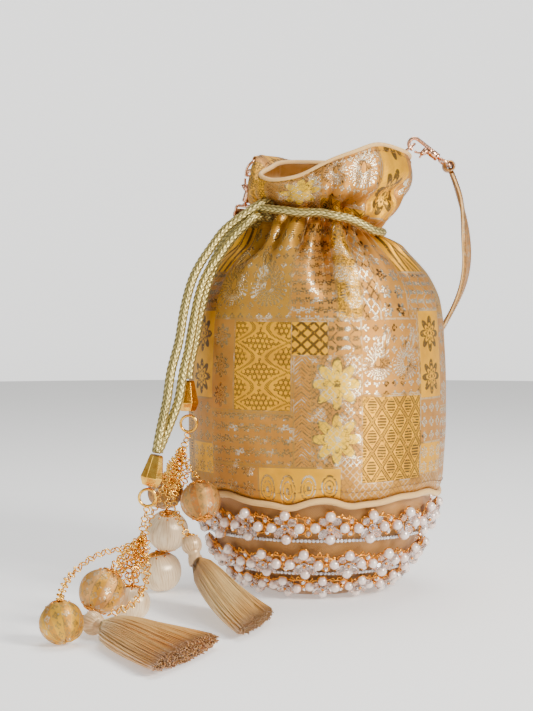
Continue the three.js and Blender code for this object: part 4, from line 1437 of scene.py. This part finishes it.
def filigree_cap(shape, at, radius, axis, reach=0.62):
    """A pierced gilt cap on a ball's pole: wire petals, a rim and a bead."""
    a, b = basis(axis)
    c = unit(axis)
    petals = 8
    for k in range(petals):
        turn = 2 * math.pi * k / petals
        ray = a * math.cos(turn) + b * math.sin(turn)
        normal = unit(c * math.cos(reach / 2) + ray * math.sin(reach / 2))
        along = np.cross(np.cross(normal, ray), normal)
        spot = np.array(at) + normal * (radius * 0.99)
        shape.ring(spot, normal, radius * 0.12, 0.3, 12, 5, 2.1, level=np.cross(along, normal))
        shape.ball(np.array(at) + unit(c * math.cos(reach) + ray * math.sin(reach)) * radius, 0.55, 7, 5)
    shape.ring(np.array(at) + c * radius * 0.97, c, radius * 0.16, 0.45, 14, 6)
    shape.ball(np.array(at) + c * radius * 1.02, 1.0, 10, 8)


def balls():
    """The stuffed balls, with gilt caps on the poles that don't rest on the floor."""
    looks = {
        "brocade_ball_1": ball_brocade("ball_stripe", (214, 162, 88), (196, 126, 54), 8.5),
        "brocade_ball_2": ball_brocade("ball_ochre", (200, 142, 66), (154, 98, 38), 7),
        "brocade_ball_3": ball_brocade("ball_peach", (222, 166, 92), (236, 172, 48), 10),
        "brocade_ball_4": ball_brocade("ball_gold", (240, 184, 50), (222, 158, 46), 9),
    }
    for name, (at, radius, axis) in BALLS.items():
        is_silk = name.startswith("silk")
        look = IVORY if is_silk else looks[name]
        obj = stuffed_ball(f"stuffed_{name}", at, radius, axis, look, 16 if is_silk else 9)
        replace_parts(obj, name)
        gilt = Shape()
        for sign in (1, -1):
            pole = np.array(at) + unit(axis) * sign * radius
            if pole[2] > 2:
                filigree_cap(gilt, at, radius * 0.97, unit(axis) * sign)
        gilt.piece(f"caps_{name}", FILIGREE, "gold_metal")


TIE_R = 3.3


def tassel(number, bulb, bulb_r, neck, left, right, material):
    """A tassel: a bound bulb, a wound neck and a skirt of loose strands."""
    bulb, neck, left, right = map(np.array, (bulb, neck, left, right))
    end = (left + right) / 2
    axis = unit(bulb - neck)
    head = stuffed_ball(f"tassel_bulb_{number}", bulb, bulb_r * 0.98, axis, HEAD_SILK, 14)
    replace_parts(head, f"tassel_head_{number}")
    wound = Shape()
    wound.tube(np.array([neck - axis, bulb]), 3.0, 24)
    for k in range(6):
        at = neck + axis * (k * 0.7 - 0.8)
        wound.ring(at, axis, TIE_R - 0.08 * abs(k - 2), 0.42, 26, 7)
    wound.piece(f"tassel_band_{number}", HEAD_SILK, "ivory_silk")
    cap = Shape()
    filigree_cap(cap, bulb, bulb_r, axis, 0.8)
    cap.piece(f"tassel_cap_{number}", GOLD, "gold_metal")
    strands(number, neck, end, left, right, material)


def strands(number, neck, end, left, right, material):
    """A tassel's skirt: loose strands that fan out from its neck and droop to the floor."""
    count, parts, sides = 2050, 9, 3
    across = (right - left) / 2
    level = unit(across)
    length = np.linalg.norm(end - neck)
    along = unit(end - neck)
    lift = unit(np.cross(along, level))
    lift = lift if lift[2] > 0 else -lift
    t = np.linspace(0, 1, parts)
    disc = np.sqrt(rng.uniform(0, 1, count))
    turn = rng.uniform(0, 2 * math.pi, count)
    sx, sz = disc * np.cos(turn), disc * np.sin(turn)
    reach = 1 + rng.normal(0, 0.012, count) - 0.03 * disc**2
    stray = np.where(rng.uniform(0, 1, count) < 0.05, 1.6, 0.35)
    curl = rng.normal(0, 1, (count, 2)) * stray[:, None]
    points = np.empty((count, parts, sides, 3))
    for j, s in enumerate(t):
        wide = TIE_R + (np.linalg.norm(across) * 0.93 - TIE_R) * s**0.5
        high = TIE_R + 0.3 * s + 3.4 * math.sin(math.pi * s**0.6)
        drop = math.sin(math.pi * s) * (neck[2] - end[2]) * 0.14
        waver = np.sin(s * 7 + curl[:, 0] * 3) * 0.3
        centre = (neck + (end - neck) * s)[None] + (s * (reach - 1) * length)[:, None] * along
        centre = centre + (sx * wide + curl[:, 0] * s * 1.6 + waver)[:, None] * level
        centre = centre + (sz * high + curl[:, 1] * s * 0.7)[:, None] * lift - [0, 0, drop]
        centre[:, 2] = np.maximum(centre[:, 2], 0.35 + rng.uniform(0, 0.3, count))
        radius = 0.2 + 0.14 * s
        for k in range(sides):
            a = 2 * math.pi * k / sides
            points[:, j, k] = centre + radius * (math.cos(a) * level + math.sin(a) * lift)
    faces = []
    for i in range(count):
        base = i * parts * sides
        for j in range(parts - 1):
            for k in range(sides):
                m = (k + 1) % sides
                low, high = base + j * sides, base + (j + 1) * sides
                faces.append((low + k, high + k, high + m, low + m))
        faces.append((base + 2, base + 1, base))
        faces.append(tuple(base + (parts - 1) * sides + k for k in range(sides)))
    tint = np.repeat(rng.uniform(0, 1, count), parts * sides)
    uv = np.stack([tint, np.tile(np.repeat(t, sides), count)], 1)
    obj = make_piece(f"tassel_strands_{number}", points.reshape(-1, 3), faces, material, uv=uv)
    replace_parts(obj, f"tassel_skirt_{number}")


drawstrings()
chains()
balls()
for number, (place, look) in enumerate(zip(TASSELS, (TASSEL_PALE, TASSEL_TAN)), 1):
    tassel(number, *place, look)


# ---- Strap -------------------------------------------------------------------------------------

STRAP_ROUTE = [
    (70.2, 4, 216.9), (75, 9.5, 204), (79.5, 17, 187), (81, 25, 169), (77.5, 34, 150), (68, 46, 130),
    (52, 60, 110), (30, 71, 95), (0, 77, 87), (-28, 70, 100), (-42, 58, 125), (-44.5, 47, 155),
    (-42, 39, 180), (-39.8, 34.2, 192.8),
]
STRAP_WIDE = 9.6
STRAP_THICK = 2.4

# The clasps, each about its swivel barrel: local +Z runs to the strap's eye, +X to the gate. turn is
# the turn about the local Y and then about Z; tab is where the cloth tab holds the ring, and hang
# is the way that the tab runs down the ruffle.
CLASPS = {
    "right": {"at": (62.6, 3, 224), "turn": (2.229, 0), "tab": (42.4, 3, 223.8), "hang": (-0.45, 0, -0.89)},
    "left": {
        "at": (-36.9, 31.3, 202.9), "turn": (3.5, -0.658), "tab": (-31, 24, 224.3),
        "hang": (0.05, -0.04, -1),
    },
}
WIRE_R = 0.95
SHANK_X = -1.2
HOOK_R = 3
HOOK_Z = -13.2
TIP_X = SHANK_X + 2 * HOOK_R
PIN_X, PIN_Z, PIN_R = 3, -7, 0.42
EYE_BAR_Z = 8
EYE_HALF_WINDOW = 5.6
BAND_CROWN = 0.95  # how high a band's upper side is against its lower one
STRAP_LOOP_R = 2.5
LUG_Y = 1.4
LUG_HALF_WALL = 0.28


def turned(place):
    """The clasp's own directions, as the columns of a matrix."""
    about_y, about_z = place["turn"]
    c, s = math.cos(about_y), math.sin(about_y)
    tip = np.array([[c, 0, s], [0, 1, 0], [-s, 0, c]])
    c, s = math.cos(about_z), math.sin(about_z)
    return np.array([[c, -s, 0], [s, c, 0], [0, 0, 1]]) @ tip


def in_clasp(place, points):
    """Points given in a clasp's own directions, as they lie on the bag."""
    return np.asarray(points, float) @ turned(place).T + np.array(place["at"])


def flat_band(shape_name, line, across, wide, thick, material, closed=False):
    """A folded band of cloth along a line, its edges rounded: rows of a flat ring of points."""
    t = np.linspace(0, 1, 10)
    x = (t * 2 - 1) * (wide / 2)
    bulge = np.sqrt(np.maximum(1 - (t * 2 - 1) ** 6, 0.02)) * (thick / 2)
    section = [(a, b * BAND_CROWN) for a, b in zip(x, bulge)]
    section += [(a, -b) for a, b in zip(x[::-1], bulge[::-1])]
    tangent = unit(np.roll(line, -1, 0) - np.roll(line, 1, 0)) if closed else unit(np.gradient(line, axis=0))
    square = unit(np.cross(across, tangent))
    sx, sy = np.array(section).T
    points = line[:, None] + sx[None, :, None] * across[:, None] + sy[None, :, None] * square[:, None]
    rows, columns = points.shape[:2]
    faces = tube_faces(rows, columns, closed)
    along = np.concatenate([[0], np.cumsum(np.linalg.norm(np.diff(line, axis=0), axis=1))])
    uv = np.stack([np.tile(sx, rows), np.repeat(along, columns)], 1)
    return make_piece(shape_name, points.reshape(-1, 3), faces, material, uv=uv)


def strap():
    """The strap's band, its edges and stitches, and the loop sewn round each clasp's eye."""
    line = even(STRAP_ROUTE, 1.6)
    tangent = unit(np.gradient(line, axis=0))
    out = outward(line)
    across = unit(np.cross(tangent, out))
    share = np.linspace(0, 1, len(line))
    twist = (-0.75 * smoothstep(share, 0.03, 0.14) * (1 - smoothstep(share, 0.42, 0.6)))[:, None]
    across = unit(across * np.cos(twist) + out * np.sin(twist))
    sag = 0.35 * np.sin(np.linspace(0, 40, len(line)))[:, None]
    middle_line = line + out * sag
    band = flat_band("strap_band", middle_line, across, STRAP_WIDE, STRAP_THICK, STRAP_CLOTH)
    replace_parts(band, "strap")
    edge = Shape()
    square = unit(np.cross(across, tangent))
    for sign in (1, -1):
        edge.tube(middle_line + across * sign * (STRAP_WIDE / 2 - 0.1) - square * 0.2, 0.42, 6)
    edge.piece("strap_edges", PIPING, "piping_cloth")
    sewn = Shape()
    for sign in (1, -1):
        seam = middle_line + across * sign * (STRAP_WIDE / 2 - 1.3)
        for face in (1, -1):
            raised = seam + square * face * (STRAP_THICK / 2 - 0.05)
            for here, ahead in zip(raised, raised[1:]):
                middle = (here + ahead) / 2
                half = (ahead - here) * 0.3
                sewn.tube([middle - half, middle, middle + half], 0.14, 5)
    sewn.piece("strap_stitches", STITCH, "piping_cloth")
    for side, place in CLASPS.items():
        turn = np.linspace(0, 2 * math.pi, 40, endpoint=False)
        ring = np.stack([STRAP_LOOP_R * np.cos(turn), 0 * turn, EYE_BAR_Z + STRAP_LOOP_R * np.sin(turn)], 1)
        level = np.tile(turned(place)[:, 1], (len(turn), 1))
        flat_band(f"strap_loop_{side}", in_clasp(place, ring), level, STRAP_WIDE, 1.5, STRAP_CLOTH,
                  closed=True)


# ---- Clasps ------------------------------------------------------------------------------------


def hook(side, place):
    """The wire hook and its swivel barrel, with two lugs for the gate's pin."""
    turn = math.pi * (1 + np.linspace(0, 1, 15))
    bend = [(SHANK_X + HOOK_R + HOOK_R * math.cos(t), 0, HOOK_Z + HOOK_R * math.sin(t)) for t in turn]
    route = [(SHANK_X, 0, -4.2), (SHANK_X, 0, -6), (SHANK_X, 0, -9), *bend, (TIP_X, 0, HOOK_Z + 1.2)]
    shape = Shape()
    wire = even(route, 0.5)
    ends = np.minimum(1, 0.55 + 0.9 * np.linspace(len(wire) * 0.5, 0, len(wire)))
    shape.tube(in_clasp(place, wire), WIRE_R * ends, 14)
    level, axis = turned(place)[:, 1], turned(place)[:, 2]
    barrel = [
        (0, -5), (1.5, -5), (2.1, -4.7), (2.2, -4.2), (1.95, -3.9), (2.2, -3.6), (2.2, -1.2), (1.95, -0.9),
        (2.2, -0.6), (2.2, 0.5), (1.9, 0.9), (1.1, 1), (1.0, -1.6), (0, -1.6),
    ]
    shape.lathe(barrel, place["at"], axis, 28, level=level)
    for y in (-LUG_Y, LUG_Y):
        plate = [(0.3, -8.1), (3.4, -8.3), (4.3, -7.4), (4.0, -6.2), (2.2, -5.0), (0.0, -4.6), (-0.6, -6.4)]
        both = [(x, y + d, z) for d in (-LUG_HALF_WALL, LUG_HALF_WALL) for x, z in plate]
        n = len(plate)
        faces = [tuple(range(n)), tuple(2 * n - 1 - k for k in range(n))]
        faces += [(k, k + n, (k + 1) % n + n, (k + 1) % n) for k in range(n)]
        shape.add(in_clasp(place, both), faces)
    body = f"{side}_hook"
    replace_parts(shape.piece(f"hook_wire_{side}", ROSE_GOLD, "rose_gold_metal", body), f"hook_{side}")
    pin = Shape()
    profile = [(0, -2.0), (0.62, -1.95), (0.66, -1.72), (PIN_R, -1.68), (PIN_R, 1.68), (0.66, 1.72),
               (0.62, 1.95), (0, 2.0)]
    pin.lathe(profile, in_clasp(place, [(PIN_X, 0, PIN_Z)])[0], level, 18)
    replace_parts(pin.piece(f"pin_{side}", ROSE_GOLD, "rose_gold_metal", body), f"gate_pin_{side}")


def gate(side, place):
    """The sprung gate: a bar from its knuckle to the hook's tip, with a thumb tab."""
    shape = Shape()
    level = turned(place)[:, 1]
    bar = even([(PIN_X + 0.3, 0, PIN_Z - 0.5), (4.2, 0, -9), (4.7, 0, -10.4), (TIP_X, 0, HOOK_Z + 2.2)], 0.4)
    shape.tube(in_clasp(place, bar), 0.62, 12)
    knuckle = [(0, -0.75), (1.1, -0.75), (1.3, -0.55), (1.3, 0.55), (1.1, 0.75), (0, 0.75)]
    shape.lathe(knuckle, in_clasp(place, [(PIN_X, 0, PIN_Z)])[0], level, 20)
    thumb = even([(PIN_X + 0.8, 0, PIN_Z + 0.2), (4.9, 0, PIN_Z + 0.1), (5.9, 0, PIN_Z + 0.3)], 0.3)
    shape.tube(in_clasp(place, thumb), np.linspace(0.6, 0.5, len(thumb)), 10)
    obj = shape.piece(f"gate_bar_{side}", ROSE_GOLD, "rose_gold_metal", f"{side}_gate")
    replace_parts(obj, f"gate_{side}")


def swivel_eye(side, place):
    """The strap's loop of flat wire, on the stem that turns in the barrel."""
    shape = Shape()
    wide, low, high = EYE_HALF_WINDOW + 0.6, 3.3, EYE_BAR_Z
    corners = [(0, -wide, low), (0, 0, low - 0.1), (0, wide, low), (0, wide + 0.2, (low + high) / 2),
               (0, wide, high), (0, 0, high), (0, -wide, high), (0, -wide - 0.2, (low + high) / 2)]
    shape.tube(in_clasp(place, even(corners, 0.6, closed=True)), 0.8, 12, closed=True)
    stem = [(0, -1.4), (0.7, -1.4), (0.7, 1.5), (1.3, 1.9), (1.5, 2.4), (1.2, 2.9), (0.7, 3.3), (0, 3.3)]
    shape.lathe(stem, place["at"], turned(place)[:, 2], 22, level=turned(place)[:, 1])
    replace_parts(shape.piece(f"eye_{side}", ROSE_GOLD, "rose_gold_metal"), f"swivel_eye_{side}")


def ring_and_tab(side, place):
    """The ring through the hook's bend, held to the ruffle by a folded cloth tab."""
    in_hook = in_clasp(place, [(SHANK_X + HOOK_R, 0, HOOK_Z)])[0]
    in_tab = np.array(place["tab"], float)
    along = in_tab - in_hook
    radius = np.linalg.norm(along) / 2
    level = turned(place)[:, 1]
    axis = unit(np.cross(along, level))
    across = np.cross(axis, unit(along))
    ring = Shape()
    ring.ring((in_hook + in_tab) / 2, axis, radius, 0.7, 48, 12)
    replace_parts(ring.piece(f"ring_wire_{side}", ROSE_GOLD, "rose_gold_metal"), f"d_ring_{side}")
    up = -np.array(place["hang"], float)
    up = unit(up - np.dot(up, across) * across)
    out = np.cross(across, up)
    turn = np.linspace(-0.25 * math.pi, 1.25 * math.pi, 22)
    loop = [in_tab + 1.75 * (math.cos(t) * out + math.sin(t) * up) for t in turn]
    loop = [in_tab - up * 6.8 + out * 0.45, in_tab - up * 3 + out * 0.5, *loop,
            in_tab - up * 3 - out * 0.5, in_tab - up * 6.8 - out * 0.45]
    line = even(loop, 0.5)
    sides = np.tile(across, (len(line), 1))
    tab = flat_band(f"tab_{side}", line, sides, 3.6, 0.8, STRAP_CLOTH)
    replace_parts(tab, f"ring_tab_{side}")


strap()
for side, place in CLASPS.items():
    hook(side, place)
    gate(side, place)
    swivel_eye(side, place)
    ring_and_tab(side, place)


# ---- Floor, backdrop and light -----------------------------------------------------------------


def plain(name, tint, glow):
    """A matt pale surface that glows a little of itself."""
    surface = Surface(name, Roughness=0.7, Emission_Strength=glow, Emission_Color=colour(*tint))
    tone = surface.noise(240, 2)
    surface.put(Base_Color=surface.mix(tone * 0.3, colour(*tint), colour(*[c - 8 for c in tint])))
    return surface.material


def backdrop():
    """A round pale table top, and a wall round it that only the camera sees."""
    floor_r, cove_r, wall_top, around = 2.0, 0.6, 3.0, 96
    floor_side = [(0.001, 0), (1.2, 0), (floor_r, 0)]
    rise = np.linspace(0, math.pi / 2, 16)
    wall_side = [(floor_r + cove_r * math.sin(t), cove_r - cove_r * math.cos(t)) for t in rise]
    wall_side += [(floor_r + cove_r, wall_top)]
    turn = np.arange(around) * 2 * math.pi / around
    for name, side, glow in (("floor", floor_side, 0.46), ("wall", wall_side, 1.3)):
        points = [(r * math.cos(t), r * math.sin(t), z) for r, z in side for t in turn]
        mesh = bpy.data.meshes.new(name)
        mesh.from_pydata(points, [], [f[::-1] for f in wrapped_faces(len(side), around)])
        mesh.polygons.foreach_set("use_smooth", [True] * len(mesh.polygons))
        mesh.materials.append(plain(name, (246, 246, 245), glow))
        obj = bpy.data.objects.new(name, mesh)
        bpy.context.collection.objects.link(obj)
    obj.visible_diffuse = False
    obj.visible_glossy = False
    obj.visible_shadow = False


# Name, place, width, power and tint.
LAMPS = [
    ("key", (0.8, -0.75, 0.62), 0.36, 21, (1, 0.97, 0.93)),
    ("fill", (-0.9, -0.7, 0.4), 0.7, 3.2, (0.98, 0.99, 1)),
    ("top", (0.1, 0.25, 1.1), 0.6, 8, (1, 1, 1)),
]
LAMPS_AIM = (0, 0, 0.12)


def area_light(name, at, wide, power, tint):
    """A square lamp that shines at the bag and isn't seen itself."""
    lamp = bpy.data.lights.new(name, "AREA")
    lamp.size = wide
    lamp.energy = power
    lamp.color = tint
    obj = bpy.data.objects.new(name, lamp)
    obj.location = at
    obj.rotation_euler = (Vector(LAMPS_AIM) - Vector(at)).to_track_quat("-Z", "Y").to_euler()
    obj.visible_camera = False
    bpy.context.collection.objects.link(obj)


def lights():
    for lamp in LAMPS:
        area_light(*lamp)
    world = bpy.data.worlds.new("world")
    bpy.context.scene.world = world
    world.use_nodes = True
    background = world.node_tree.nodes["Background"]
    background.inputs["Color"].default_value = (1, 0.985, 0.96, 1)
    background.inputs["Strength"].default_value = 0.42


backdrop()
lights()
